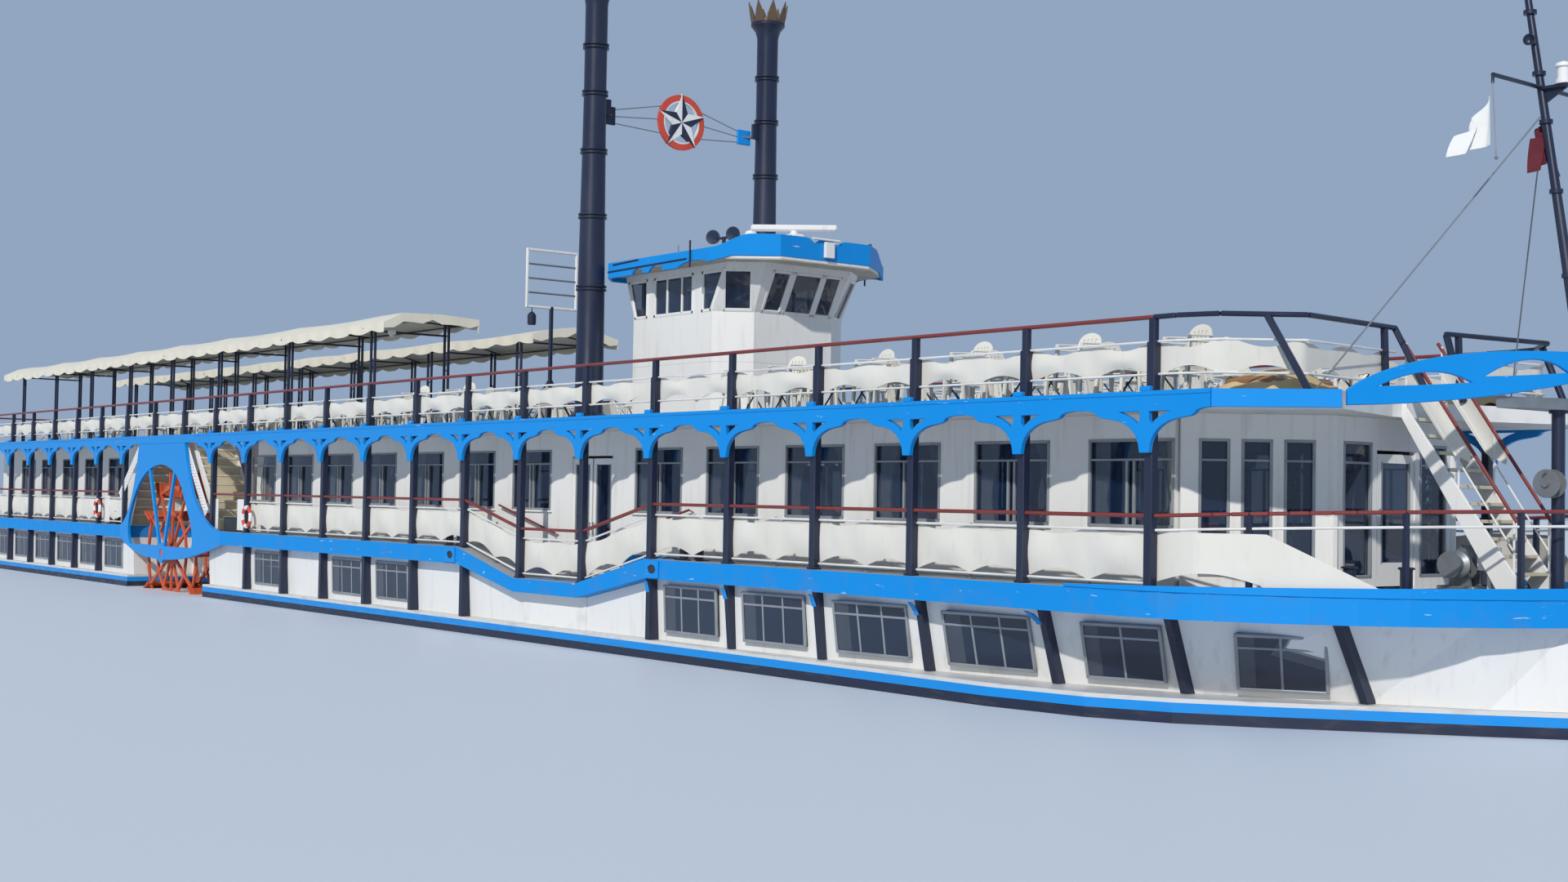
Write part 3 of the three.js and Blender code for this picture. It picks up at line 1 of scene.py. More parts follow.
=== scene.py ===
"""Looks for a side-wheel excursion steamer, a 1:10 scale model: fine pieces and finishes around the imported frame.

Shapes are drawn in the full-size ship's metres, x = 0 at the foremost deck post, y = 0 on the centreline and
z = 0 at the waterline, and come to the model's scale as each piece is finished.
"""

import json
from math import atan2, copysign, cos, dist, exp, hypot, pi, radians, sin, tau

import bmesh
import bpy
from mathutils import Matrix, Vector

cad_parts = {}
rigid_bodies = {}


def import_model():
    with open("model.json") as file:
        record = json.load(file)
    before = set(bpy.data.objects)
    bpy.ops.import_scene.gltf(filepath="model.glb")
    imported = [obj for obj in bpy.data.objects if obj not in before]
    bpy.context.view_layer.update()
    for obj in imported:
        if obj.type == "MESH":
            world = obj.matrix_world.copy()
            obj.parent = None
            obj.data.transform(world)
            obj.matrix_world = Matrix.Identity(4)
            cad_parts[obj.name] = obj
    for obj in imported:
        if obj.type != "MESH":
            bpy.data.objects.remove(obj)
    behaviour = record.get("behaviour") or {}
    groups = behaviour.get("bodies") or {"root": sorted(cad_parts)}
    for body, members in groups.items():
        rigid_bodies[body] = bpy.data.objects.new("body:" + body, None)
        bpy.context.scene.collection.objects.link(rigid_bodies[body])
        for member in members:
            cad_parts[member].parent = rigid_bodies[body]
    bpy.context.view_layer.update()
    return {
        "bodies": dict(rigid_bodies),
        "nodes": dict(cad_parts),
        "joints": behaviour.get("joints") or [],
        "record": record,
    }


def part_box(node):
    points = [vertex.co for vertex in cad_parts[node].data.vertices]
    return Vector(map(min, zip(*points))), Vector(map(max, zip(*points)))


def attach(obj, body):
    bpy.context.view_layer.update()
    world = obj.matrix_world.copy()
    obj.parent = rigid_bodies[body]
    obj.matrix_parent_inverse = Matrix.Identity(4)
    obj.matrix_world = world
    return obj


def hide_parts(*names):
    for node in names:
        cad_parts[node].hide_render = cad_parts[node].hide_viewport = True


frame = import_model()

# The ship's levels and breadths, in full-size metres
SCALE = 0.1
ROW = Matrix.Translation((2.94, 0.0, 0.15)) @ Matrix.Diagonal((SCALE, SCALE, SCALE, 1.0))
SIDES = (("starboard", -1), ("port", 1))
LEDGE = 0.36
DECK = 1.916
DECK_LOW = 1.54
UPPER = 4.713
UPPER_LOW = 4.47
BEAM = 4.4
PITCH = 2.5
POSTS = 25
POST = 0.145
POST_Y = 4.2375
WALL_Y = 3.25
POST_TOP = 4.462
HAND_RAIL = 2.97
RAIL_WIDE, RAIL_HIGH = 0.085, 0.06
UPPER_RAIL = 5.77
UPPER_POST_Y = 4.205
DIP = 0.586
DIP_AFT, DIP_FORE = -17.5, -15.0
ON_DECK, ON_UPPER = DECK + 0.004, UPPER + 0.004


# Working bodies
def moved(x, y, z):
    return Matrix.Translation((x, y, z))


def linked(name, data):
    """A new object that is in the scene."""
    made = bpy.data.objects.new(name, data)
    bpy.context.scene.collection.objects.link(made)
    return made


def once(parts):
    """Each part once, in the order in which it first comes."""
    return list(dict.fromkeys(parts))


def both_sides(*makers):
    for name, side in SIDES:
        for maker in makers:
            maker(name, side)


def frame_of(origin, ahead, up):
    """A local frame: u runs ahead, v runs up as nearly as it can, and w looks out of their plane."""
    u = Vector(ahead).normalized()
    w = u.cross(Vector(up)).normalized()
    v = w.cross(u)
    basis = Matrix((u, v, w)).transposed().to_4x4()
    return Matrix.Translation(origin) @ basis


class Work:
    """A mesh in the making. Every shape takes the paint that was last named."""

    def __init__(self, paint):
        self.bm = bmesh.new()
        self.paints = [paint]
        self.index = 0

    def use(self, paint):
        if paint not in self.paints:
            self.paints.append(paint)
        self.index = self.paints.index(paint)
        return self

    def mark(self, verts):
        for vert in verts:
            for face in vert.link_faces:
                face.material_index = self.index
        return verts

    def soften(self, verts, width, segments=1):
        edges = once(edge for vert in verts for edge in vert.link_edges if edge.calc_face_angle(0.0) > 0.5)
        made = bmesh.ops.bevel(self.bm, geom=edges, offset=width, affect="EDGES", segments=segments,
                               profile=0.5, material=-1)
        return made["verts"]

    def block(self, x, y, z, soft=0.0, within=None):
        """A box between two places along each axis."""
        size = [abs(b - a) for a, b in (x, y, z)]
        middle = [(a + b) / 2 for a, b in (x, y, z)]
        matrix = Matrix.Translation(middle) @ Matrix.Diagonal((*size, 1.0))
        if within is not None:
            matrix = within @ matrix
        verts = bmesh.ops.create_cube(self.bm, size=1.0, matrix=matrix)["verts"]
        self.mark(verts)
        return self.soften(verts, soft) if soft else verts

    def post(self, x, y, half_x, half_y, z, soft=0.0):
        """An upright box round a place."""
        return self.block((x - half_x, x + half_x), (y - half_y, y + half_y), z, soft)

    def beam(self, start, end, wide, high, soft=0.0, up=(0, 0, 1)):
        """A square bar from one point to another."""
        run = Vector(end) - Vector(start)
        place = frame_of(start, run, up)
        return self.block((0, run.length), (-high / 2, high / 2), (-wide / 2, wide / 2), soft, place)

    def run(self, points, wide, high, soft=0.0):
        """Square bars that follow a line of points."""
        for start, end in zip(points, points[1:]):
            self.beam(start, end, wide, high, soft)

    def tube(self, start, end, r0, r1=None, sides=8):
        run = Vector(end) - Vector(start)
        turn = run.to_track_quat("Z", "Y").to_matrix().to_4x4()
        matrix = Matrix.Translation((Vector(start) + Vector(end)) / 2) @ turn
        made = bmesh.ops.create_cone(self.bm, cap_ends=True, cap_tris=False, segments=sides, radius1=r0,
                                     radius2=r0 if r1 is None else r1, depth=run.length, matrix=matrix)
        return self.mark(made["verts"])

    def pipe(self, points, radius, sides=8):
        for start, end in zip(points, points[1:]):
            self.tube(start, end, radius, sides=sides)
        for point in points[1:-1]:
            self.ball(point, radius, 1)

    def ball(self, centre, radius, rings=2, squash=1.0):
        matrix = Matrix.Translation(centre) @ Matrix.Diagonal((1.0, 1.0, squash, 1.0))
        made = bmesh.ops.create_icosphere(self.bm, subdivisions=rings, radius=radius, matrix=matrix)
        return self.mark(made["verts"])

    def turned(self, profile, matrix, sides=24):
        """A profile of radius and height, from axis to axis, turned about the frame's own z."""
        verts = [self.bm.verts.new((r, 0.0, z)) for r, z in profile]
        edges = [self.bm.edges.new(pair) for pair in zip(verts, verts[1:])]
        made = bmesh.ops.spin(self.bm, geom=verts + edges, cent=(0, 0, 0), axis=(0, 0, 1), dvec=(0, 0, 0),
                              angle=tau, steps=sides, use_merge=True)
        faces = self.island([v for v in made["geom_last"] if isinstance(v, bmesh.types.BMVert)] + verts)
        verts = once(v for face in faces for v in face.verts)
        bmesh.ops.remove_doubles(self.bm, verts=verts, dist=1e-5)
        faces = self.island([v for v in verts if v.is_valid])
        bmesh.ops.recalc_face_normals(self.bm, faces=faces)
        verts = once(v for face in faces for v in face.verts)
        bmesh.ops.transform(self.bm, matrix=matrix, verts=verts)
        return self.mark(verts)

    def island(self, verts):
        """Every face that hangs together with these vertices."""
        faces, waiting = {}, list(verts)
        seen = set(waiting)
        while waiting:
            for face in waiting.pop().link_faces:
                if face not in faces:
                    faces[face] = True
                    fresh = [v for v in face.verts if v not in seen]
                    seen.update(fresh)
                    waiting.extend(fresh)
        return list(faces)

    def cut_sheet(self, outline, thick, matrix, holes=(), soft=0.0):
        """A flat outline with its holes, drawn in u and v and given a thickness along w."""
        edges = []
        for ring in (outline, *holes):
            verts = [self.bm.verts.new((u, v, 0.0)) for u, v in ring]
            edges += [self.bm.edges.new(pair) for pair in zip(verts, verts[1:] + verts[:1])]
        filled = bmesh.ops.triangle_fill(self.bm, edges=edges, use_beauty=True, normal=(0, 0, 1))
        faces = [part for part in filled["geom"] if isinstance(part, bmesh.types.BMFace)]
        grown = bmesh.ops.extrude_face_region(self.bm, geom=faces, use_keep_orig=True)
        top = [part for part in grown["geom"] if isinstance(part, bmesh.types.BMVert)]
        bmesh.ops.translate(self.bm, vec=(0, 0, thick), verts=top)
        faces = self.island(top)
        bmesh.ops.recalc_face_normals(self.bm, faces=faces)
        verts = once(v for face in faces for v in face.verts)
        bmesh.ops.transform(self.bm, matrix=matrix, verts=verts)
        self.mark(verts)
        return self.soften(verts, soft) if soft else verts

    def even(self):
        """All faces look outwards."""
        bmesh.ops.recalc_face_normals(self.bm, faces=self.bm.faces)

    def stamp(self, other, matrix):
        """A copy of another work's mesh, put in place by a matrix."""
        before = set(self.bm.verts)
        faces_before = len(self.bm.faces)
        mesh = bpy.data.meshes.new("stamp")
        other.bm.to_mesh(mesh)
        self.bm.from_mesh(mesh)
        bpy.data.meshes.remove(mesh)
        fresh = [v for v in self.bm.verts if v not in before]
        bmesh.ops.transform(self.bm, matrix=matrix, verts=fresh)
        self.bm.faces.ensure_lookup_table()
        lookup = []
        for paint in other.paints:
            self.use(paint)
            lookup.append(self.index)
        for face in self.bm.faces[faces_before:]:
            face.material_index = lookup[face.material_index]

    def piece(self, name, body="ship", slot=None, replaces=(), smooth=None):
        """The finished piece, at the model's scale, riding on its body."""
        bmesh.ops.transform(self.bm, matrix=ROW, verts=self.bm.verts)
        mesh = bpy.data.meshes.new(name)
        self.bm.to_mesh(mesh)
        self.bm.free()
        for paint in self.paints:
            mesh.materials.append(PAINTS[paint])
        made = linked(name, mesh)
        if smooth is not None:
            mesh.shade_smooth()
            mesh.set_sharp_from_angle(angle=radians(smooth))
        if replaces:
            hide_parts(*replaces)
        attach(made, body)
        return made


def arc(start, control, end, steps=6):
    """A curve from start to end that bows towards control, without its last point."""
    points = []
    for i in range(steps):
        t = i / steps
        a, b, c = (1 - t) ** 2, 2 * t * (1 - t), t * t
        points.append((a * start[0] + b * control[0] + c * end[0], a * start[1] + b * control[1] + c * end[1]))
    return points


def curve(start, *bends):
    """Arcs that follow on from one another. Each bend has its control, its end and its steps."""
    points = []
    for control, end, steps in bends:
        points += arc(start, control, end, steps)
        start = end
    return points


def post_x(index):
    return -PITCH * index


def deck_drop(x):
    """How far the main deck lies under its usual level, at the boarding dip."""
    if DIP_AFT <= x <= DIP_FORE:
        return DIP
    away = min(abs(x - DIP_AFT), abs(x - DIP_FORE))
    return DIP * max(0.0, 1 - away / PITCH)


# Finishes
class Finish:
    """A material in the making: one shader, and the nodes on Object coordinates that feed it."""

    def __init__(self, name, colour, roughness, metallic=0.0, specular=0.5):
        self.material = bpy.data.materials.new(name)
        self.material.use_nodes = True
        self.tree = self.material.node_tree
        self.shader = self.tree.nodes["Principled BSDF"]
        self.shader.inputs["Roughness"].default_value = roughness
        self.shader.inputs["Metallic"].default_value = metallic
        self.shader.inputs["Specular IOR Level"].default_value = specular
        self.shader.inputs["Base Color"].default_value = (*colour, 1.0)
        self.roughness = roughness
        self.colour = (*colour, 1.0)
        self.place = self.tree.nodes.new("ShaderNodeTexCoord").outputs["Object"]
        PAINTS[name] = self.material

    def node(self, kind, inputs, **settings):
        made = self.tree.nodes.new(kind)
        for key, value in settings.items():
            setattr(made, key, value)
        for key, value in inputs.items():
            if isinstance(value, bpy.types.NodeSocket):
                self.tree.links.new(value, made.inputs[key])
            else:
                made.inputs[key].default_value = value
        return made

    def stretched(self, stretch):
        return self.node("ShaderNodeMapping", {"Vector": self.place, "Scale": stretch}).outputs["Vector"]

    def noise(self, scale, detail=4.0, stretch=(1, 1, 1)):
        spot = self.stretched(stretch)
        return self.node("ShaderNodeTexNoise", {"Vector": spot, "Scale": scale, "Detail": detail}).outputs[0]

    def range(self, value, low, high, to_low=0.0, to_high=1.0):
        numbers = {"Value": value, "From Min": low, "From Max": high, "To Min": to_low, "To Max": to_high}
        return self.node("ShaderNodeMapRange", numbers).outputs[0]

    def tint(self, share, colour):
        mixed = self.node("ShaderNodeMixRGB", {"Fac": share, "Color1": self.colour, "Color2": (*colour, 1.0)})
        self.colour = mixed.outputs[0]
        self.tree.links.new(self.colour, self.shader.inputs["Base Color"])

    def stain(self, noise, low, high, most, colour):
        """Tints where a noise lies between low and high, and gives the noise back."""
        value = self.noise(*noise)
        self.tint(self.range(value, low, high, 0.0, most), colour)
        return value

    def rough(self, value, low, high):
        socket = self.range(value, 0.3, 0.7, low, high)
        self.tree.links.new(socket, self.shader.inputs["Roughness"])

    def bump(self, height, strength, distance=0.002):
        numbers = {"Height": height, "Strength": strength, "Distance": distance}
        made = self.node("ShaderNodeBump", numbers)
        before = self.shader.inputs["Normal"]
        if before.is_linked:
            self.tree.links.new(before.links[0].from_socket, made.inputs["Normal"])
        self.tree.links.new(made.outputs[0], before)

    def axis(self, name):
        return self.node("ShaderNodeSeparateXYZ", {"Vector": self.place}).outputs[name]

    def facing_up(self):
        normal = self.node("ShaderNodeNewGeometry", {}).outputs["Normal"]
        up = self.node("ShaderNodeSeparateXYZ", {"Vector": normal}).outputs["Z"]
        return self.range(up, 0.6, 0.8)


PAINTS = {}
WHITE = (0.80, 0.79, 0.76)
BLUE = (0.0, 0.25, 0.69)
NAVY = (0.012, 0.018, 0.045)
DECK_GREY = (0.30, 0.31, 0.32)
GRIME = (0.36, 0.32, 0.26)
RUST = (0.22, 0.07, 0.02)


def make_paints():
    """Rain streaks, scuffs, mottle, weave and painted shade along cloth folds: each stain has its noise, its low and
    high, its strength and colour.
    """
    scuffed = (0.55, 0.62, 0.70)
    white = Finish("white_paint", WHITE, 0.42)
    white.stain((9.0, 6.0, (9, 9, 0.8)), 0.55, 0.85, 0.35, GRIME)
    mottle = white.stain((5.0, 3.0), 0.45, 0.8, 0.35 * 0.35, GRIME)
    white.rough(mottle, 0.34, 0.54)
    white.bump(white.noise(220.0, 2.0), 0.06, 0.001)
    white.bump(white.noise(6.0, 2.0), 0.12, 0.004)

    blue = Finish("blue_paint", BLUE, 0.34, specular=0.3)
    fade = blue.stain((3.0, 3.0), 0.4, 0.7, 0.25, (0.015, 0.28, 0.74))
    blue.stain((30.0, 8.0, (1.0, 1, 7.0)), 0.69, 0.74, 0.7, scuffed)
    blue.rough(fade, 0.28, 0.42)
    blue.bump(blue.noise(7.0, 2.0), 0.12, 0.003)

    navy = Finish("navy_paint", NAVY, 0.32)
    navy.rough(navy.stain((14.0, 5.0, (1, 1, 0.3)), 0.5, 0.8, 0.3, (0.05, 0.06, 0.10)), 0.26, 0.45)
    navy.bump(navy.noise(160.0, 2.0), 0.05, 0.001)

    bands = Finish("hull_paint", NAVY, 0.4)
    level = bands.axis("Z")
    bands.tint(bands.range(level, 0.1655, 0.1660), BLUE)
    bands.tint(bands.range(level, 0.1795, 0.1800), (0.62, 0.62, 0.60))
    bands.rough(bands.stain((24.0, 5.0, (1, 1, 5)), 0.55, 0.8, 0.4, (0.10, 0.10, 0.08)), 0.3, 0.6)
    bands.bump(bands.noise(8.0, 2.0), 0.15, 0.004)

    for name, side in (("main_deck_paint", BLUE), ("landing_paint", BLUE), ("upper_deck_paint", WHITE)):
        deck = Finish(name, side, 0.5, specular=0.3)
        deck.stain((26.0, 8.0, (1.0, 1, 6.0)), 0.69, 0.74, 0.7, scuffed)
        if name == "landing_paint":
            deck.tint(deck.range(deck.axis("Z"), 0.2541, 0.2539), WHITE)
        deck.tint(deck.facing_up(), DECK_GREY)
        deck.rough(deck.stain((18.0, 6.0), 0.5, 0.8, 0.25, (0.16, 0.15, 0.13)), 0.5, 0.78)
        deck.bump(deck.noise(400.0, 2.0), 0.1, 0.001)

    rail = Finish("rail_paint", (0.21, 0.035, 0.03), 0.3)
    rail.rough(rail.stain((40.0, 5.0, (0.4, 1, 1)), 0.55, 0.75, 0.5, (0.11, 0.03, 0.03)), 0.25, 0.5)

    wheel = Finish("wheel_paint", (0.60, 0.10, 0.035), 0.5)
    rust = wheel.stain((10.0, 7.0), 0.48, 0.75, 0.55, RUST)
    wheel.stain((26.0, 4.0), 0.52, 0.8, 0.45, (0.12, 0.06, 0.03))
    wheel.rough(rust, 0.4, 0.75)
    wheel.bump(wheel.noise(90.0, 4.0), 0.25, 0.001)

    for name, colour, weave in (("canvas", (0.70, 0.68, 0.62), 1300.0), ("awning_cloth", (0.74, 0.69, 0.57), 900.0)):
        cloth = Finish(name, colour, 0.85, specular=0.2)
        # The cloth is tinted darker along the noise that also raises its folds: painted shade in the folds.
        folds = cloth.stain((12.0, 4.0, (1, 1, 0.4)), 0.45, 0.75, 0.3, (0.58, 0.55, 0.48))
        cloth.stain((30.0, 5.0, (4, 4, 1)), 0.58, 0.8, 0.25, (0.45, 0.44, 0.38))
        threads = cloth.node("ShaderNodeTexWave", {"Vector": cloth.place, "Scale": weave / 6, "Distortion": 0.6},
                             wave_type="BANDS", bands_direction="DIAGONAL").outputs[1]
        cloth.bump(threads, 0.12, 0.0006)
        cloth.bump(folds, 0.5, 0.006)
        cloth.shader.inputs["Sheen Weight"].default_value = 0.15

    glass = Finish("window_glass", (0.01, 0.028, 0.075), 0.04, specular=0.9)
    for key, value in (("Alpha", 0.5), ("Coat Weight", 0.6), ("Coat Roughness", 0.03)):
        glass.shader.inputs[key].default_value = value
    glass.bump(glass.noise(9.0, 1.0), 0.05, 0.003)

    simple = (
        # name, colour, roughness, metallic, mottle colour
        ("window_frame", (0.30, 0.32, 0.34), 0.38, 0.2, (0.18, 0.19, 0.20)),
        ("white_tube", (0.76, 0.76, 0.74), 0.3, 0.0, (0.5, 0.46, 0.4)),
        # Near-black: painted shade behind the hull windows and in the fairlead mouths, and the black paint of the low
        # boxes
        ("dark_inside", (0.03, 0.035, 0.04), 0.7, 0.0, (0.015, 0.015, 0.02)),
        ("curtain", (0.62, 0.64, 0.60), 0.9, 0.0, (0.46, 0.49, 0.47)),
        ("chair_red", (0.80, 0.09, 0.06), 0.6, 0.0, (0.35, 0.04, 0.03)),
        ("plastic_cream", (0.76, 0.74, 0.67), 0.4, 0.0, (0.62, 0.58, 0.48)),
        ("table_wood", (0.30, 0.16, 0.07), 0.45, 0.0, (0.18, 0.09, 0.04)),
        ("linen", (0.74, 0.74, 0.72), 0.9, 0.0, (0.6, 0.6, 0.58)),
        ("cover_tan", (0.62, 0.47, 0.26), 0.8, 0.0, (0.45, 0.32, 0.17)),
        ("steel_grey", (0.28, 0.31, 0.33), 0.42, 0.6, (0.16, 0.12, 0.09)),
        ("signal_red", (0.62, 0.07, 0.04), 0.4, 0.0, (0.40, 0.05, 0.03)),
        ("crown_bronze", (0.20, 0.13, 0.08), 0.45, 0.7, (0.08, 0.05, 0.035)),
        ("flag_maroon", (0.11, 0.012, 0.022), 0.9, 0.0, (0.07, 0.01, 0.015)),
        ("soffit", (0.50, 0.47, 0.41), 0.6, 0.0, (0.36, 0.33, 0.28)),
        ("leaf", (0.16, 0.34, 0.07), 0.5, 0.0, (0.30, 0.44, 0.14)),
        ("lamp_glass", (0.80, 0.76, 0.66), 0.15, 0.0, (0.6, 0.55, 0.45)),
        ("tread", (0.66, 0.58, 0.40), 0.6, 0.0, (0.42, 0.36, 0.25)),
    )
    for name, colour, roughness, metallic, mottle in simple:
        made = Finish(name, colour, roughness, metallic)
        spots = made.stain((22.0, 6.0), 0.45, 0.8, 0.7, mottle)
        made.rough(spots, max(roughness - 0.08, 0.05), roughness + 0.12)
        made.bump(made.noise(180.0, 3.0), 0.08, 0.001)


make_paints()

# Camera, floor and lights. The camera stands off the starboard bow and looks aft, a little up
CAMERA = (17.62, -24.535, 3.124)
LENS = 43.094
AZIMUTH, PITCH_UP, ROLL = (radians(angle) for angle in (52.035, 1.752, 0.987))
SUN_AHEAD, SUN_UP = radians(32.0), radians(33.0)


def stage():
    right = Vector((cos(AZIMUTH), sin(AZIMUTH), 0.0))
    look = Vector((-sin(AZIMUTH) * cos(PITCH_UP), cos(AZIMUTH) * cos(PITCH_UP), sin(PITCH_UP)))
    up = right.cross(look)
    level, over = cos(ROLL), sin(ROLL)
    basis = Matrix((right * level + up * over, up * level - right * over, -look)).transposed().to_4x4()
    data = bpy.data.cameras.new("camera")
    data.lens = LENS
    data.sensor_width = 36.0
    data.clip_end = 200.0
    camera = linked("camera", data)
    camera.matrix_world = Matrix.Translation(ROW @ Vector(CAMERA)) @ basis
    bpy.context.scene.camera = camera

    grown = bmesh.new()
    bmesh.ops.create_grid(grown, x_segments=1, y_segments=1, size=60.0, matrix=moved(0, 0, ROW.translation.z))
    mesh = bpy.data.meshes.new("floor")
    grown.to_mesh(mesh)
    grown.free()
    floor = linked("floor", mesh)
    mesh.materials.append(Finish("pale_floor", (0.66, 0.70, 0.74), 0.5, specular=0.2).material)

    sun = bpy.data.lights.new("sun", "SUN")
    sun.energy = 2.8
    sun.angle = radians(1.2)
    sun.color = (1.0, 0.96, 0.90)
    lamp = linked("sun", sun)
    towards = Vector((sin(SUN_AHEAD) * cos(SUN_UP), -cos(SUN_AHEAD) * cos(SUN_UP), sin(SUN_UP)))
    lamp.rotation_mode = "QUATERNION"
    lamp.rotation_quaternion = towards.to_track_quat("Z", "Y")

    world = bpy.data.worlds.new("sky")
    world.use_nodes = True
    world.node_tree.nodes["Background"].inputs["Color"].default_value = (0.52, 0.69, 0.96, 1.0)
    world.node_tree.nodes["Background"].inputs["Strength"].default_value = 0.55
    bpy.context.scene.world = world
    bpy.context.scene.view_settings.view_transform = "Standard"


stage()


def dress(paint, *names):
    """A CAD node's shape is right: it only takes its finish."""
    for name in names:
        mesh = frame["nodes"][name].data
        mesh.materials.clear()
        mesh.materials.append(PAINTS[paint])


dress("hull_paint", "hull", "rudder")
dress("main_deck_paint", "main_deck_fore", "main_deck_aft")
dress("landing_paint", "boarding_landing")
dress("upper_deck_paint", "upper_deck")
dress("white_paint", "lower_house_fore", "lower_house_aft", "saloon_front", "saloon_stern", "pilothouse_base",
      "pilothouse_walls", "front_door", "pilothouse_door", "bow_stair")
dress("wheel_paint", "wheel_starboard", "wheel_port")
dress("steel_grey", "helm")
for name, side in SIDES:
    dress("white_paint", f"saloon_{name}", f"boarding_door_{name}_fore", f"boarding_door_{name}_aft")
    dress("white_paint", f"stair_{name}_fore", f"stair_{name}_aft")
    dress("blue_paint", f"wheel_frame_{name}")


def upright(x, y, z=0.0):
    """A frame whose u runs forward, v up and w to starboard."""
    return frame_of((x, y, z), (1, 0, 0), (0, 0, 1))


def outer_face(side, inset=0.0):
    """Where a plate drawn in upright() starts, so that it ends flush with the ship's side."""
    return BEAM if side > 0 else inset - BEAM


# Arcade: the fascia with a lobed arch between its brackets, each pierced by two triangles
FASCIA = 0.085
CHAMFER = ((1.18, BEAM), (2.45, 3.30))
WHEEL_POSTS = (15, 16)
ARCH_TOP = 4.465


def half_arch(reach):
    """From a post's bracket out towards the middle of the bay."""
    run = [(0.085, 3.85)]
    run += curve((0.105, 3.97), ((0.20, 4.27), (0.62, 4.325), 8), ((0.68, 4.33), (0.77, 4.345), 2),
                 ((0.87, 4.35), (0.93, 4.425), 3), ((1.03, ARCH_TOP), (1.25, ARCH_TOP), 4))
    kept = [point for point in run if point[0] < reach - 0.01]
    return kept + [(reach, kept[-1][1] if reach < 1.0 else ARCH_TOP)]


def arcade_bay(aft, fore):
    bay = Work("blue_paint")
    outline = [(-u, v) for u, v in reversed(half_arch(aft))] + half_arch(fore)
    outline += [(fore, UPPER), (-aft, UPPER)]
    holes = []
    for sign in (-1, 1):
        hole = arc((0.46, 4.43), (0.22, 4.36), (0.14, 4.25), 4) + [(0.14, 4.25), (0.085, 4.30), (0.085, 4.43)]
        holes.append([(sign * u, v) for u, v in hole])
    bay.cut_sheet(outline, FASCIA, upright(0, 0), holes, 0.006)
    bay.block((-aft, fore), (-FASCIA - 0.012, -FASCIA + 0.002), (4.655, ON_UPPER), 0.004)
    bay.block((-0.095, 0.095), (-FASCIA, 0.0), (UPPER, UPPER + 0.075), 0.01)
    return bay


def arcade(name, side):
    work = Work("blue_paint")
    start = moved(0, outer_face(side, FASCIA), 0)
    if side > 0:
        start = moved(0, BEAM - FASCIA, 0) @ Matrix.Diagonal((1, -1, 1, 1))
    kinds = {0: arcade_bay(1.25, 1.16), POSTS - 1: arcade_bay(0.6, 1.25)}
    plain = arcade_bay(1.25, 1.25)
    for index in range(POSTS):
        if index not in WHEEL_POSTS:
            work.stamp(kinds.get(index, plain), start @ moved(post_x(index), 0, 0))
    flat = sorted((side * BEAM, side * (BEAM - FASCIA)))
    work.block((-41.25, -36.25), flat, (ARCH_TOP, UPPER), 0.006)
    (ax, ay), (bx, by) = CHAMFER
    middle = (ARCH_TOP + UPPER) / 2
    start, end = (ax - 0.03, side * (ay - 0.045), middle), (bx, side * (by - 0.045), middle)
    work.beam(start, end, FASCIA, UPPER - ARCH_TOP, 0.006)
    for made in (*kinds.values(), plain):
        made.bm.free()
    work.even()
    work.piece(f"arcade_dressed_{name}", slot="blue", replaces=[f"arcade_{name}"])


both_sides(arcade)

# Stacks: tapered tubes with paired bands, a flared collar and a crown of leaves. Columns: height, radius
STACK_AT = (-17.8, 2.4)
STACK_TAPER = ((UPPER, 0.42), (4.90, 0.42), (4.96, 0.315), (7.65, 0.30), (9.3, 0.278), (10.72, 0.262),
               (12.05, 0.25), (13.1, 0.25), (14.15, 0.25))
BANDS = (7.7, 9.3, 10.75, 12.05, 13.1)


def stack_radius(z):
    for (z0, r0), (z1, r1) in zip(STACK_TAPER[2:], STACK_TAPER[3:]):
        if z <= z1:
            return r0 + (r1 - r0) * (z - z0) / (z1 - z0)
    return STACK_TAPER[-1][1]


def stack(name, side):
    work = Work("navy_paint")
    place = moved(STACK_AT[0], side * STACK_AT[1], 0)
    profile = [(0.0, ON_UPPER), (0.42, ON_UPPER), (0.42, 4.87), (0.40, 4.90), (0.335, 4.93), (0.315, 4.98)]
    for band in BANDS:
        for z in (band - 0.03, band + 0.045):
            r = stack_radius(z)
            profile += [(r, z - 0.022), (r + 0.042, z - 0.018), (r + 0.042, z + 0.018), (r, z + 0.022)]
    profile += [(0.25, 14.02), (0.262, 14.12), (0.30, 14.24), (0.37, 14.33), (0.40, 14.36)]
    profile += [(0.405, 14.43), (0.36, 14.46), (0.31, 14.47), (0.20, 14.47), (0.20, 14.30), (0.0, 14.30)]
    work.turned(profile, place, 32)
    work.post(STACK_AT[0], side * (STACK_AT[1] - 0.31), 0.03, 0.11, (11.62, 11.98), 0.01)
    work.use("crown_bronze")
    for leaf in range(8):
        turn = place @ Matrix.Rotation(tau * (leaf + 0.5) / 8, 4, "Z")
        outline = [(-0.115, 14.42), (0.115, 14.42), (0.12, 14.58), (0.075, 14.74), (0.0, 14.95),
                   (-0.075, 14.74), (-0.12, 14.58)]
        lean = turn @ moved(0.34, 0, 14.4) @ Matrix.Rotation(radians(13), 4, "Y")
        flat = frame_of((0, 0, -14.4), (0, 1, 0), (0, 0, 1))
        work.cut_sheet(outline, 0.03, lean @ flat, soft=0.008)
    collar = [(0.335, 14.44), (0.385, 14.44), (0.39, 14.50), (0.36, 14.52), (0.335, 14.50), (0.335, 14.44)]
    work.turned(collar, place, 32)
    work.piece(f"stack_dressed_{name}", slot="navy", replaces=[f"stack_{name}"], smooth=35)


both_sides(stack)

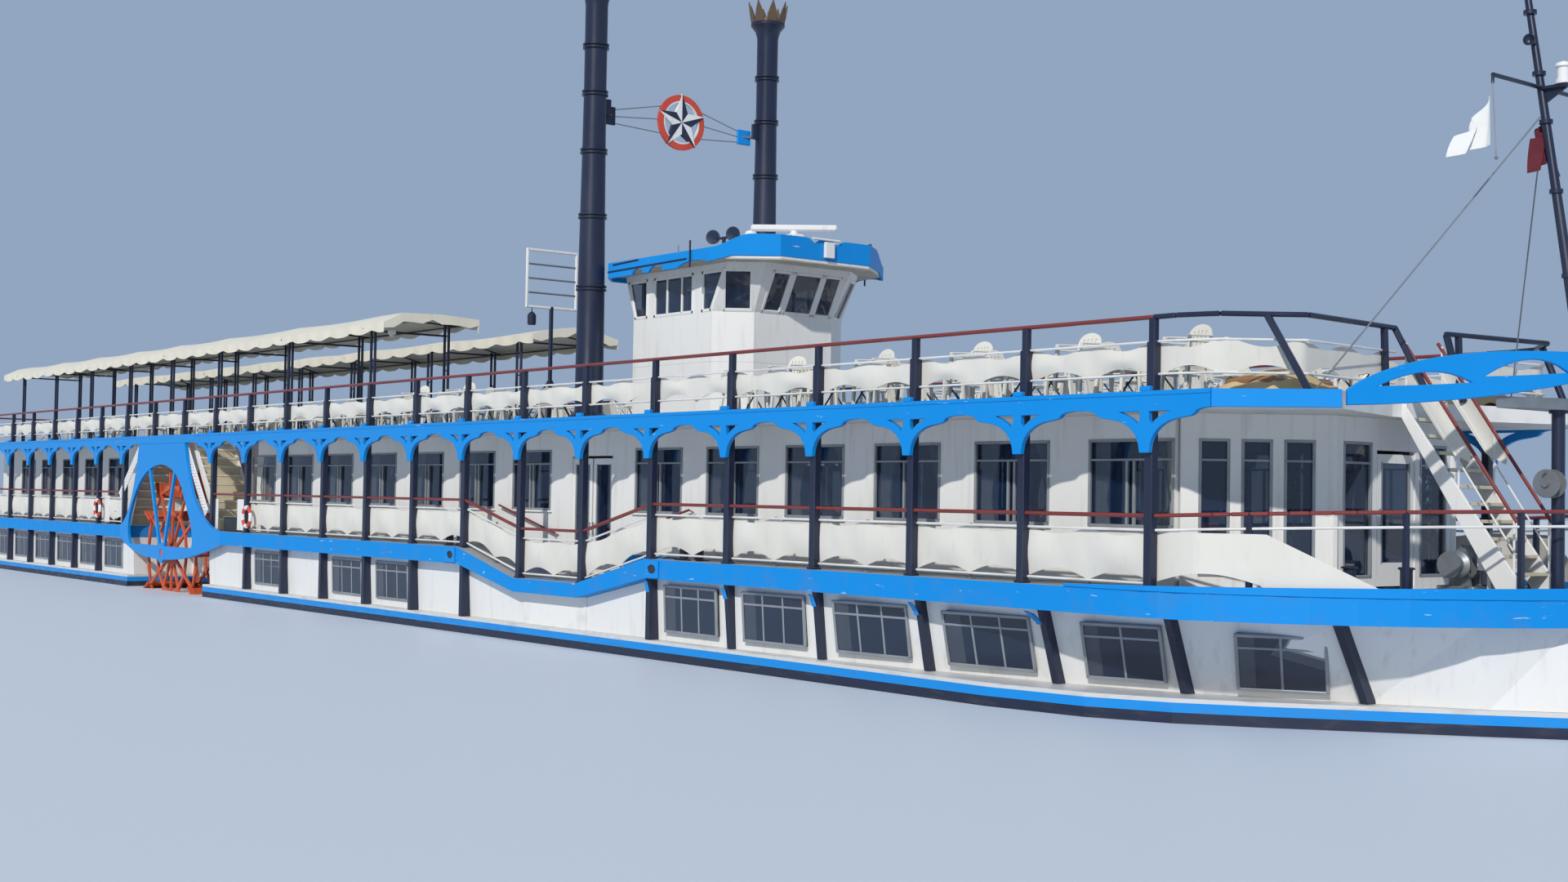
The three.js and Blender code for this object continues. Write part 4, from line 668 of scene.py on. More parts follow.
# Pilothouse: windows in walls that lean outwards, under a broad roof with a swept board round its edge
HOUSE_SPRING, HOUSE_SILL, HOUSE_HEAD, HOUSE_TOP = 7.0, 7.03, 7.83, 8.003
HOUSE_SIDE = 1.75
HOUSE_FOOT = (Vector((-14.10, 1.75)), Vector((-13.57, 1.04)))
HOUSE_HEADS = (Vector((-13.55, 1.75)), Vector((-13.05, 1.14)))
# Columns: aft and fore end at the sill, the same at the head, and the shares where bars stand
SIDE_PANES = ((-16.98, -16.53, -17.235, -16.53, ()), (-16.23, -14.81, -16.23, -14.81, (0.33, 0.72)),
              (-14.45, -14.15, -14.45, -13.72, ()))
FRONT_PANES = ((-0.86, -0.39), (-0.29, 0.44), (0.52, 0.96))
CORNER_PANE = (0.28, 0.93)
ROOF_PLAN = ((-17.7, -1.95), (-17.2, -2.35), (-13.4, -2.35), (-12.5, -1.2), (-12.5, 1.2), (-13.4, 2.35),
             (-17.2, 2.35), (-17.7, 1.95))
ROOF_TOP = 8.09
EAVE_LOW, EAVE_HIGH, EAVE_THICK = 7.88, 8.22, 0.055
VISOR_LOW, VISOR_HIGH = 8.06, 8.51
NOTCHES = ((-16.03, 0.22, 0.13), (-15.33, 0.26, 0.14), (-13.95, 0.55, 0.11))


def glazed(work, corners, bars=(), wide=0.07, deep=0.075):
    """A window in a leaning wall, from its sill's two corners up to its head's: a rim, bars and the pane."""
    ring = [Vector(corner) for corner in corners]
    out = (ring[1] - ring[0]).cross(ring[-1] - ring[0]).normalized()
    if out.dot(ring[0] - Vector((-15.3, 0, ring[0].z))) < 0:
        out = -out
    ring = [corner - out * 0.028 for corner in ring]
    work.use("white_paint")
    for a, b in zip(ring, ring[1:] + ring[:1]):
        over = (b - a).normalized() * wide / 2
        work.beam(a - over, b + over, wide, deep, 0.01, out)
    for share in bars:
        work.beam(ring[0].lerp(ring[1], share), ring[3].lerp(ring[2], share), wide * 0.7, deep, 0.008, out)
    work.use("window_glass")
    place = frame_of(ring[0], ring[1] - ring[0], ring[-1] - ring[0])
    work.cut_sheet([(place.inverted() @ corner).to_2d() for corner in ring], 0.006, place)


def corner_spot(side, share, z):
    """A place on the leaning corner wall, straight over a share of its foot's length."""
    lean = z - HOUSE_SPRING
    aft, fore = [foot.lerp(head, lean) for foot, head in zip(HOUSE_FOOT, HOUSE_HEADS)]
    along = HOUSE_FOOT[1] - HOUSE_FOOT[0]
    wanted = share * along.length_squared - (aft - HOUSE_FOOT[0]).dot(along)
    spot = aft + (fore - aft) * (wanted / (fore - aft).dot(along))
    return (spot.x, side * spot.y, z)


def pilothouse_windows():
    work = Work("white_paint")
    for _, side in SIDES:
        y = side * HOUSE_SIDE
        for aft, fore, top_aft, top_fore, bars in SIDE_PANES:
            glazed(work, [(aft, y, HOUSE_SILL), (fore, y, HOUSE_SILL), (top_fore, y, HOUSE_HEAD),
                          (top_aft, y, HOUSE_HEAD)], bars)
        low, high = CORNER_PANE
        glazed(work, [corner_spot(side, share, z) for share, z in
                      ((low, HOUSE_SILL), (high, HOUSE_SILL), (high, HOUSE_HEAD), (low, HOUSE_HEAD))])
    for y0, y1 in FRONT_PANES:
        x0, x1 = [-13.57 + 0.52 * (z - HOUSE_SPRING) for z in (HOUSE_SILL, HOUSE_HEAD)]
        glazed(work, [(x0, y0, HOUSE_SILL), (x0, y1, HOUSE_SILL), (x1, y1, HOUSE_HEAD), (x1, y0, HOUSE_HEAD)])
    work.piece("pilothouse_windows", slot="white")


def eave_foot(x):
    """The board's foot: notched by arches along the sides, higher in front."""
    notch = max(high * max(0.0, 1 - ((x - at) / half) ** 2) ** 0.5 for at, half, high in NOTCHES)
    return EAVE_LOW + max(notch, (VISOR_LOW - EAVE_LOW) * min(max((x + 13.5) / 0.4, 0.0), 1.0))


def eave_top(x, y):
    """Low along the sides, sweeping up at the corners to a tall front with a crest in its middle."""
    rise = min(max((x + 13.42) / 0.55, 0.0), 1.0)
    top = EAVE_HIGH + (VISOR_HIGH - EAVE_HIGH) * rise * rise * (3 - 2 * rise)
    if x > -12.6:
        top -= 0.10 * exp(-((abs(y) - 0.30) / 0.10) ** 2)
    return top


def pilothouse_roof():
    work = Work("white_paint")
    work.cut_sheet([(x * 0.995 - 0.075, y * 0.98) for x, y in ROOF_PLAN], ROOF_TOP - HOUSE_TOP,
                   moved(0, 0, HOUSE_TOP), soft=0.01)
    work.use("soffit")
    opening = [(-17.3, -1.68), (-13.62, -1.68), (-13.12, -1.08), (-13.12, 1.08), (-13.62, 1.68), (-17.3, 1.68)]
    work.cut_sheet([(x * 0.995 - 0.075, y * 0.975) for x, y in ROOF_PLAN], 0.014,
                   moved(0, 0, HOUSE_TOP - 0.016), [opening])
    work.use("blue_paint")
    for (x0, y0), (x1, y1) in zip(ROOF_PLAN, ROOF_PLAN[1:] + ROOF_PLAN[:1]):
        length = hypot(x1 - x0, y1 - y0)
        steps = max(2, int(length * 16)) if x0 != x1 or x0 > -13.5 else 2
        run = [(length * i / steps, x0 + (x1 - x0) * i / steps, y0 + (y1 - y0) * i / steps) for i in range(steps + 1)]
        outline = [(u, eave_foot(x)) for u, x, _ in run] + [(u, eave_top(x, y)) for u, x, y in reversed(run)]
        place = frame_of((x0, y0, 0), (x1 - x0, y1 - y0, 0), (0, 0, 1))
        work.cut_sheet(outline, EAVE_THICK, place @ moved(0, 0, -EAVE_THICK), soft=0.006)
    work.use("navy_paint")
    for _, side in SIDES:
        work.beam((-14.05, side * 2.37, 7.86), (-14.05, side * 2.37, 8.42), 0.035, 0.035, 0.008, (1, 0, 0))
        # Two navy bars along each side of the board are painted shadow: dark lines cast across the blue board.
        for start, end, z in ((-17.2, -14.2, 8.03), (-17.0, -16.0, 8.17)):
            work.beam((start, side * 2.352, z - 0.01), (end, side * 2.352, z + 0.02), 0.03, 0.035, 0.006)
    work.use("white_paint").block((-12.50, -12.42), (-0.08, 0.17), (8.12, 8.45), 0.012)
    work.block((-12.50, -12.44), (-0.39, 0.33), (8.48, 8.52), 0.008)
    work.tube((-14.46, -0.5, ROOF_TOP), (-14.46, -0.5, 8.72), 0.02)
    work.turned([(0.0, 0.0), (0.14, 0.0), (0.145, 0.05), (0.11, 0.13), (0.0, 0.17)],
                moved(-14.46, -0.5, 8.70), 16)
    work.use("steel_grey")
    for x, y, high in ((-15.6, 0.9, 8.9), (-16.6, -0.9, 8.7)):
        work.tube((x, y, ROOF_TOP), (x, y, ROOF_TOP + 0.08), 0.05)
        work.tube((x, y, ROOF_TOP + 0.06), (x, y, high), 0.014)
    work.even()
    work.piece("pilothouse_roof_dressed", slot="blue", replaces=["pilothouse_roof"])


pilothouse_windows()
pilothouse_roof()

# Radar: a bar on a gearbox, standing askew, and two round lamps each side on an arm
RADAR_AT, RADAR_ASKEW = (-13.6, 0.0, 8.78), radians(49.0)
LAMP_Y, LAMP_Z, LAMP_POST, LAMP_ENDS = 1.8, 8.5, -13.65, (-14.0, -13.3)


def radar():
    x, y, z = RADAR_AT
    stand = Work("white_paint")
    stand.turned([(0.0, 0.0), (0.20, 0.0), (0.20, 0.03), (0.10, 0.06), (0.06, 0.10), (0.06, z - 0.2 - ROOF_TOP),
                  (0.0, z - 0.2 - ROOF_TOP)], moved(x, y, ROOF_TOP + 0.004), 20)
    stand.post(x, y, 0.18, 0.16, (z - 0.20, z - 0.052), 0.035)
    stand.use("steel_grey")
    for shift in (-0.1, 0.1):
        stand.post(x + shift, y, 0.012, 0.166, (z - 0.17, z - 0.08), 0.004)
    stand.piece("radar_stand", slot="white", replaces=["radar_post"])
    bar = Work("white_paint")
    turn = moved(*RADAR_AT) @ Matrix.Rotation(RADAR_ASKEW, 4, "Z")
    bar.block((-0.92, 0.92), (-0.07, 0.07), (0.012, 0.15), 0.035, turn)
    bar.block((-0.86, 0.86), (0.062, 0.074), (0.04, 0.12), 0.005, turn)
    bar.tube((x, y, z - 0.045), (x, y, z + 0.03), 0.085, 0.07, 16)
    bar.piece("radar_bar", body="radar_scanner", slot="white", replaces=["radar_scanner"])


def round_lamps(name, side):
    y = side * LAMP_Y
    work = Work("navy_paint")
    high = LAMP_Z - ROOF_TOP
    work.turned([(0.0, 0.0), (0.10, 0.0), (0.10, 0.02), (0.04, 0.05), (0.04, high), (0.0, high)],
                moved(LAMP_POST, y, ROOF_TOP + 0.004), 12)
    work.beam((LAMP_ENDS[0], y, LAMP_Z - 0.02), (LAMP_ENDS[1], y, LAMP_Z - 0.02), 0.05, 0.05, 0.008)
    lamp = [(0.0, -0.10), (0.07, -0.095), (0.115, -0.06), (0.14, 0.02), (0.15, 0.065), (0.15, 0.085), (0.13, 0.085),
            (0.0, 0.07)]
    for x in LAMP_ENDS:
        facing = Vector((0.55, side * 0.83, 0.05)).to_track_quat("Z", "Y").to_matrix().to_4x4()
        place = moved(x, y, LAMP_Z + 0.02) @ facing
        work.use("navy_paint").turned(lamp, place, 24)
        work.use("window_glass")
        work.turned([(0.0, 0.072), (0.128, 0.074), (0.128, 0.082), (0.07, 0.092), (0.0, 0.096)], place, 24)
    work.piece(f"round_lamps_{name}", slot="grey", replaces=[f"searchlight_{name}"])


radar()
both_sides(round_lamps)

# Between the stacks: a five-pointed star in a red ring, held by taut wires from a plate on each stack
STAR_AT, STAR_TIP, STAR_WAIST = (-17.9, 0.0, 11.75), 0.66, 0.27
PLATES = ((-2.2, -1.8, 11.44, 11.85, "navy_paint"), (1.62, 2.0, 11.47, 11.82, "blue_paint"))


def star():
    work = Work("white_paint")
    place = frame_of(STAR_AT, (0, 1, 0), (0, 0, 1)) @ moved(0, 0, -0.05)
    spots = []
    for i in range(11):
        angle, reach = pi / 2 + i * pi / 5, STAR_WAIST if i % 2 else STAR_TIP
        spots.append((cos(angle) * reach, sin(angle) * reach))
    for i, (a, b) in enumerate(zip(spots, spots[1:])):
        work.use("navy_paint" if i % 2 else "white_paint")
        work.cut_sheet([(0.0, 0.0), a, b], 0.10, place)
    turn = moved(*STAR_AT) @ Matrix.Rotation(pi / 2, 4, "Y")
    work.use("signal_red")
    work.turned([(0.50, -0.035), (0.64, -0.035), (0.64, 0.035), (0.50, 0.035), (0.50, -0.035)], turn, 40)
    work.use("white_tube")
    work.turned([(0.465, -0.03), (0.502, -0.03), (0.502, 0.03), (0.465, 0.03), (0.465, -0.03)], turn, 40)
    x, _, z = STAR_AT
    for y0, y1, low, high, paint in PLATES:
        side = copysign(1, y0)
        inner = min(abs(y0), abs(y1))
        work.use(paint)
        work.block((x - 0.03, x + 0.03), (y0, y1), (low, high), 0.012)
        work.use("steel_grey")
        work.beam((x, side * (inner + 0.1), 11.66), (STACK_AT[0], side * 2.2, 11.66), 0.05, 0.05, 0.008)
        for i, (out, up) in enumerate(((0.56, -0.31), (0.64, 0.0), (0.56, 0.31))):
            start = (x, side * inner, low + (high - low) * (0.12 + 0.38 * i))
            work.tube(start, (x, side * out, z + up), 0.013, sides=6)
    work.even()
    work.piece("star_dressed", slot="white", replaces=["star_ornament"])


star()

# Signal rack aft of the stacks: a white frame with dark rails, on a post, and a hanging lamp
RACK_X, RACK_Y, RACK_Z = -19.8, (-2.87, -1.56), (7.42, 8.73)


def signal_rack():
    work = Work("white_paint")
    (y0, y1), (z0, z1) = RACK_Y, RACK_Z
    for y in (y0, y1):
        work.beam((RACK_X, y, z0 - 0.03), (RACK_X, y, z1 + 0.03), 0.06, 0.06, 0.012, (1, 0, 0))
    for z in (z0, z1):
        work.beam((RACK_X, y0, z), (RACK_X, y1, z), 0.06, 0.06, 0.012)
    work.use("steel_grey")
    for share in (0.25, 0.5, 0.75):
        z = z0 + (z1 - z0) * share
        work.tube((RACK_X, y0, z), (RACK_X, y1, z), 0.022)
    work.use("navy_paint")
    middle = (y0 + y1) / 2
    work.post(RACK_X, middle, 0.04, 0.04, (ON_UPPER, z0 + 0.03), 0.012)
    work.post(RACK_X, middle, 0.14, 0.14, (UPPER + 0.003, UPPER + 0.03), 0.008)
    for out in (-0.9, 0.9):
        foot, head = (RACK_X, middle + out * 0.75, UPPER + 0.02), (RACK_X, middle, UPPER + 1.1)
        work.beam(foot, head, 0.04, 0.04, 0.008, (1, 0, 0))
    lamp = [(0.0, 0.0), (0.09, 0.0), (0.10, 0.05), (0.10, 0.22), (0.07, 0.27), (0.03, 0.30), (0.0, 0.32)]
    work.tube((RACK_X, y0 + 0.14, z0 - 0.12), (RACK_X, y0 + 0.14, z0), 0.012)
    work.turned(lamp, moved(RACK_X, y0 + 0.14, z0 - 0.42), 16)
    work.piece("signal_rack", slot="white", replaces=["signal_frame"])


signal_rack()

# Bow mast: raked, with a yard, a lamp on a bracket, a horn, two plain flags, taut stays and halyards
MAST_FOOT, MAST_HEAD = Vector((3.975, 0.0, 5.403)), Vector((3.05, 0.0, 11.3))
YARD_Z, YARD_HALF = 9.09, 1.26
STAY_FEET = (1.45, 2.5)
# Columns: name, paint, hoist's top and foot, fly's top and foot, then the cut's size and its area
FLAGS = (("fore_flag", "linen", (3.38, -1.27, 8.80), (3.40, -1.29, 8.12), (3.12, -1.58, 8.24), (3.10, -1.79, 7.93),
          (0.57, 0.68), 0.30),
         ("mast_flag", "flag_maroon", (3.42, 0.12, 8.75), (3.44, 0.07, 8.05), (3.36, -0.05, 8.38), (3.34, -0.16, 7.88),
          (0.47, 0.70), 0.285))


def mast_at(z):
    return MAST_FOOT.lerp(MAST_HEAD, (z - MAST_FOOT.z) / (MAST_HEAD.z - MAST_FOOT.z))


def mast():
    work = Work("navy_paint")
    work.tube(MAST_FOOT, MAST_HEAD, 0.078, 0.045, 16)
    work.ball(MAST_HEAD, 0.06, 2)
    x, z = MAST_FOOT.x, MAST_FOOT.z
    work.post(x, 0, 0.085, 0.1, (z, z + 0.06), 0.012)
    for height in (6.4, 7.6, 8.6, 9.3, 10.2):
        spot = mast_at(height)
        work.tube(spot - Vector((0, 0, 0.03)), spot + Vector((0, 0, 0.03)), 0.092, sides=16)
    yard = mast_at(YARD_Z)
    work.tube((yard.x + 0.02, -YARD_HALF, YARD_Z), (yard.x + 0.02, YARD_HALF, YARD_Z), 0.032)
    for _, side in SIDES:
        tip = Vector((yard.x + 0.02, side * YARD_HALF, YARD_Z))
        work.tube(tip, tip - Vector((0, 0, 0.12)), 0.022)
    work.block((yard.x, yard.x + 0.44), (-0.07, 0.07), (9.05, 9.10), 0.01)
    work.cut_sheet([(yard.x + 0.04, 8.84), (yard.x + 0.42, 9.06), (yard.x + 0.02, 9.06)], 0.03,
                   upright(0, 0.015))
    facing = Vector((0.25, -1, 0)).to_track_quat("Z", "Y").to_matrix().to_4x4()
    work.turned([(0.0, 0.0), (0.03, 0.0), (0.03, 0.2), (0.045, 0.28), (0.085, 0.34), (0.07, 0.34), (0.0, 0.24)],
                moved(mast_at(9.74).x, 0.04, 9.74) @ facing, 16)
    work.tube((mast_at(7.93).x - 0.05, 0.16, 7.84), (mast_at(7.93).x - 0.05, 0.16, 8.02), 0.065, 0.006, 12)
    work.use("white_tube")
    place = moved(yard.x + 0.33, 0, 9.10)
    lantern = [(0.0, 0.0), (0.11, 0.0), (0.11, 0.05), (0.085, 0.07), (0.085, 0.22), (0.115, 0.24), (0.10, 0.29),
               (0.0, 0.33)]
    work.turned(lantern, place, 20)
    work.use("steel_grey")
    for _, side in SIDES:
        foot = Vector((STAY_FEET[0], side * STAY_FEET[1], UPPER + 0.04))
        work.post(foot.x, foot.y, 0.04, 0.04, (UPPER + 0.003, UPPER + 0.07), 0.008)
        work.tube(mast_at(8.75), foot, 0.012, sides=6)
    for y, low in ((-1.27, 7.93), (0.09, 7.9), (0.8, 6.0)):
        top = Vector((yard.x + 0.02, y, YARD_Z))
        work.tube(top, (yard.x + 0.10, y * 1.02, low), 0.008, sides=6)
        work.ball((yard.x + 0.10, y * 1.02, low), 0.03, 1)
    work.tube(mast_at(10.9), (4.05, 0.03, 5.40), 0.008, sides=6)
    work.piece("bow_mast_dressed", slot="navy", replaces=["bow_mast"], smooth=40)


def flag(name, paint, hoist_top, hoist_foot, fly_top, fly_foot, flat, area):
    """A limp flag: it hangs from its hoist in soft folds. It is cut narrower at its fly."""
    work = Work(paint)
    corners = [Vector(corner) for corner in (hoist_top, hoist_foot, fly_top, fly_foot)]
    across = Vector((0.8, 0.25, 0)).normalized()

    def place(along, up):
        left, right = corners[1].lerp(corners[0], up), corners[3].lerp(corners[2], up)
        fold = 0.085 * sin(pi * (along * 3.2 + 0.4 * up)) * min(1.0, along * 3)
        return left.lerp(right, along) + across * fold - Vector((0, 0, 0.10 * sin(pi * along) * up))
    hang(work, 22, 12, place)
    cloth_piece(work, name, "rail_cloth", flat, thick=0.01, area=area)


# Awnings: a shallow ridge of cloth with a scalloped hem all round
AWNING_FORE, AWNING_AFT = -25.8, -59.0
AWNING_IN, AWNING_OUT = 0.8, 3.5
AWNING_HEM = 7.15
# Across each awning: breadth from the centreline, height. The starboard one is flat over a bevelled outer edge
AWNING_SECTION = {"starboard": ((0.8, 7.64), (1.9, 7.70), (2.96, 7.67), (3.5, 7.40)),
                  "port": ((0.8, 7.40), (1.45, 7.56), (2.15, 7.65), (2.85, 7.56), (3.5, 7.40))}
AWNING_BAYS = (-27.0, -32.2, -37.4, -41.4, -45.3, -49.3, -53.3, -57.3)
AWNING_LEGS = (1.1, 3.2)
SCALLOP, END_SCALLOP = 1.25, 0.675
HEM_LEAST, HEM_MOST = 0.15, 0.26


def awning_top(name, y):
    section = AWNING_SECTION[name]
    for (y0, z0), (y1, z1) in zip(section, section[1:]):
        if y <= y1:
            return z0 + (z1 - z0) * (y - y0) / (y1 - y0)
    return section[-1][1]


def hem_drop(along, scallop=SCALLOP):
    """How far the hem hangs at a place along it: deepest in the middle of each scallop."""
    return HEM_LEAST + (HEM_MOST - HEM_LEAST) * abs(sin(pi * along / scallop)) ** 0.6


def awning_sag(x, across):
    """The cloth sags a little between the frames."""
    gaps = [(a, b) for a, b in zip(AWNING_BAYS, AWNING_BAYS[1:]) if b <= x <= a]
    if not gaps:
        return 0.0
    a, b = gaps[0]
    share = (x - b) / (a - b)
    return 0.055 * sin(pi * share) * (0.35 + 0.65 * abs(sin(pi * across)))


def awning(name, side):
    """A grid of cloth: its columns run along the ship, its rows from the inner hem over the ridge to the outer."""
    work = Work("awning_cloth")
    length = AWNING_FORE - AWNING_AFT
    columns = int(length / 0.125)
    rows = [(0, 1.0), (0, 0.5), (0, 0.0)] + [(i / 10, 0.0) for i in range(1, 11)] + [(1, 0.5), (1, 1.0)]
    grid = bmesh.ops.create_grid(work.bm, x_segments=columns, y_segments=len(rows) - 1, size=0.5)["verts"]
    for vert in grid:
        column = round((vert.co.x + 0.5) * columns)
        across, down = rows[round((vert.co.y + 0.5) * (len(rows) - 1))]
        x = AWNING_AFT + length * column / columns
        y = AWNING_IN + (AWNING_OUT - AWNING_IN) * across
        z = awning_top(name, y) - awning_sag(x, across) - down * hem_drop(x - AWNING_AFT)
        flap = 0.02 * down * sin(tau * (x + 0.3) / SCALLOP * 1.5)
        vert.co = (x, side * (y + flap), z)
    for end, x in ((1, AWNING_FORE), (-1, AWNING_AFT)):
        edge = {v for v in work.bm.verts if abs(v.co.x - x) < 1e-4 and v.co.z > AWNING_HEM + 0.15}
        edges = [e for e in work.bm.edges if edge.issuperset(e.verts)]
        grown = bmesh.ops.extrude_edge_only(work.bm, edges=edges)["geom"]
        for vert in [part for part in grown if isinstance(part, bmesh.types.BMVert)]:
            vert.co.z -= hem_drop(side * vert.co.y - AWNING_IN, END_SCALLOP)
            vert.co.x += end * 0.012
    work.even()
    bmesh.ops.solidify(work.bm, geom=work.bm.faces, thickness=0.02)
    cloth = work.piece(f"awning_cloth_{name}", slot="awning_cloth", replaces=[f"awning_{name}"], smooth=50)


def awning_frame(name, side):
    work = Work("navy_paint")
    spine = [(y, awning_top(name, y) - 0.11) for y, _ in AWNING_SECTION[name]]
    for x in AWNING_BAYS:
        for y in AWNING_LEGS:
            top = awning_top(name, y) - 0.12
            for shift in (-0.11, 0.11):
                work.post(x + shift, side * y, 0.03, 0.03, (UPPER + 0.003, top), 0.008)
            work.post(x, side * y, 0.19, 0.09, (UPPER + 0.003, UPPER + 0.03), 0.006)
            work.tube((x - 0.13, side * y, 6.35), (x + 0.13, side * y, 6.35), 0.018)
        work.pipe([(x, side * y, z) for y, z in spine], 0.022)
        work.beam((x, side * AWNING_LEGS[0], 7.26), (x, side * AWNING_LEGS[1], 7.26), 0.05, 0.05, 0.008)
    for y in (AWNING_IN + 0.04, 2.15, AWNING_OUT - 0.04):
        z = awning_top(name, y) - 0.11
        work.tube((AWNING_AFT + 0.05, side * y, z), (AWNING_FORE - 0.05, side * y, z), 0.022)
    work.use("white_paint").post(AWNING_FORE - 0.36, side * 3.10, 0.06, 0.09, (7.12, 7.24), 0.015)
    work.use("lamp_glass").ball((AWNING_FORE - 0.36, side * 3.10, 7.10), 0.06, 2, 0.8)
    work.piece(f"awning_frame_dressed_{name}", slot="white", replaces=[f"awning_frame_{name}"])


both_sides(awning_frame, awning)

def hang(work, columns, rows, place):
    """A grid of cloth, each of its points put by place(along, up), with both from 0 to 1."""
    grid = bmesh.ops.create_grid(work.bm, x_segments=columns, y_segments=rows, size=0.5)["verts"]
    for vert in grid:
        vert.co = place(vert.co.x + 0.5, vert.co.y + 0.5)
    return work.mark(grid)


def cloth_piece(work, name, slot, flat, replaces=(), thick=0.016, area=None):
    """Gives the cloth a thickness. A cut that isn't a rectangle gives its pattern's area, which is worked out and
    dropped. The cut's size, flat, is not used.
    """
    bmesh.ops.remove_doubles(work.bm, verts=work.bm.verts, dist=1e-4)
    work.even()
    bmesh.ops.solidify(work.bm, geom=work.bm.faces, thickness=thick)
    made = work.piece(name, slot=slot, replaces=replaces, smooth=50)
    area and area * SCALE * SCALE


# Cloth along the rails: one length of canvas a side, scalloped top and bottom in every bay
LOW_CLOTH = {"y": 4.145, "top": 0.85, "foot": 0.10, "sag": 0.09, "rise": 0.15}
HIGH_CLOTH = {"y": 4.12, "top": 0.74, "foot": 0.20, "sag": 0.13, "rise": 0.16}


def scallops(form, along):
    """Foot and top of the cloth at a share of a bay: two hanging arcs above, two raised arcs below."""
    bow = abs(sin(tau * along))
    return form["foot"] + form["rise"] * bow, form["top"] - form["sag"] * bow ** 1.3


def strip_cut(form, length):
    """A scalloped strip's cut: its length and greatest depth, and its area from the mean depth over a bay."""
    steps = 200
    edges = [scallops(form, (i + 0.5) / steps) for i in range(steps)]
    return (length, form["top"] - form["foot"]), length * sum(high - low for low, high in edges) / steps


def bay_cloth(work, index, side, base, form, phase):
    """The bay of cloth aft of a post, standing over base(x)."""
    fore, aft, y = post_x(index), post_x(index + 1), side * form["y"]

    def place(along, up):
        x = fore + (aft - fore) * along
        low, high = scallops(form, along)
        belly = sin(pi * up) * (0.035 * sin(tau * along * 1.5 + phase) + 0.02)
        return (x, y + copysign(belly, y), base(x) + low + (high - low) * up)
    hang(work, 28, 5, place)


def main_base(x):
    return DECK - deck_drop(x)


def rail_cloth(name, side):
    for which, first, last in (("fore", 0, 13), ("aft", 17, 24)):
        cloth = Work("canvas")
        for index in range(first, last):
            bay_cloth(cloth, index, side, main_base, LOW_CLOTH, index * 2.4 + side)
        flat, area = strip_cut(LOW_CLOTH, post_x(first) - post_x(last))
        cloth_piece(cloth, f"rail_cloth_dressed_{name}_{which}", "rail_cloth", flat,
                    [f"rail_cloth_{name}_{which}"], area=area)


both_sides(rail_cloth)
mast()
for entry in FLAGS:
    flag(*entry)

# Bow line: the deck's edge seen from above, from the first post round to the stem
BOW_LINE = ((-3.0, 4.4), (-1.0, 4.395), (0.2, 4.3), (1.1, 3.9), (2.0, 3.3), (2.9, 2.35), (3.6, 1.25), (4.2, 0.0))


def bow_at(share):
    """A point on the bow line, eased through its points."""
    place = min(share, 0.9999) * (len(BOW_LINE) - 1)
    index = int(place)
    t = place - index
    a, b, c, d = (Vector(BOW_LINE[min(max(index + k, 0), len(BOW_LINE) - 1)]) for k in (-1, 0, 1, 2))
    return 0.5 * (2 * b + (c - a) * t + (2 * a - 5 * b + 4 * c - d) * t ** 2 + (3 * b - a - 3 * c + d) * t ** 3)


def walk(line, left):
    """The place that lies some way along a line of points."""
    for a, b in zip(line, line[1:]):
        length = dist(a, b)
        if left <= length + 1e-6:
            break
        left -= length
    return Vector(a).lerp(Vector(b), min(left / length, 1.0))


def bow_run(inset, side, start=0.0, steps=28):
    """The bow line moved inwards, from x = start forward, as points with their headings."""
    points = []
    for i in range(steps + 1):
        here, ahead = bow_at(i / steps), bow_at(min(i / steps + 0.01, 1.0)) - bow_at(i / steps - 0.01 if i else 0)
        ahead.normalize()
        spot = here + Vector((ahead.y, -ahead.x)) * inset
        if spot.x >= start and spot.y > 0.03:
            points.append((spot.x, side * spot.y))
    return points


def wall_along(work, points, low, high, thick, soft=0.0):
    """A thin upright board that follows points, its foot and top given by low(x) and high(x)."""
    for (x0, y0), (x1, y1) in zip(points, points[1:]):
        length = hypot(x1 - x0, y1 - y0)
        outline = [(0, low(x0)), (length + 0.012, low(x1)), (length + 0.012, high(x1)), (0, high(x0))]
        work.cut_sheet(outline, thick, frame_of((x0, y0, 0), (x1 - x0, y1 - y0, 0), (0, 0, 1)), soft=soft)


def toe_top(x):
    return DECK + 0.17 * (x + 3.5) / 7.9


def rail_top(x):
    """The main hand rail: level aft, following the dip, and climbing a little round the bow."""
    return HAND_RAIL - deck_drop(x) + max(x, 0.0) * 0.04


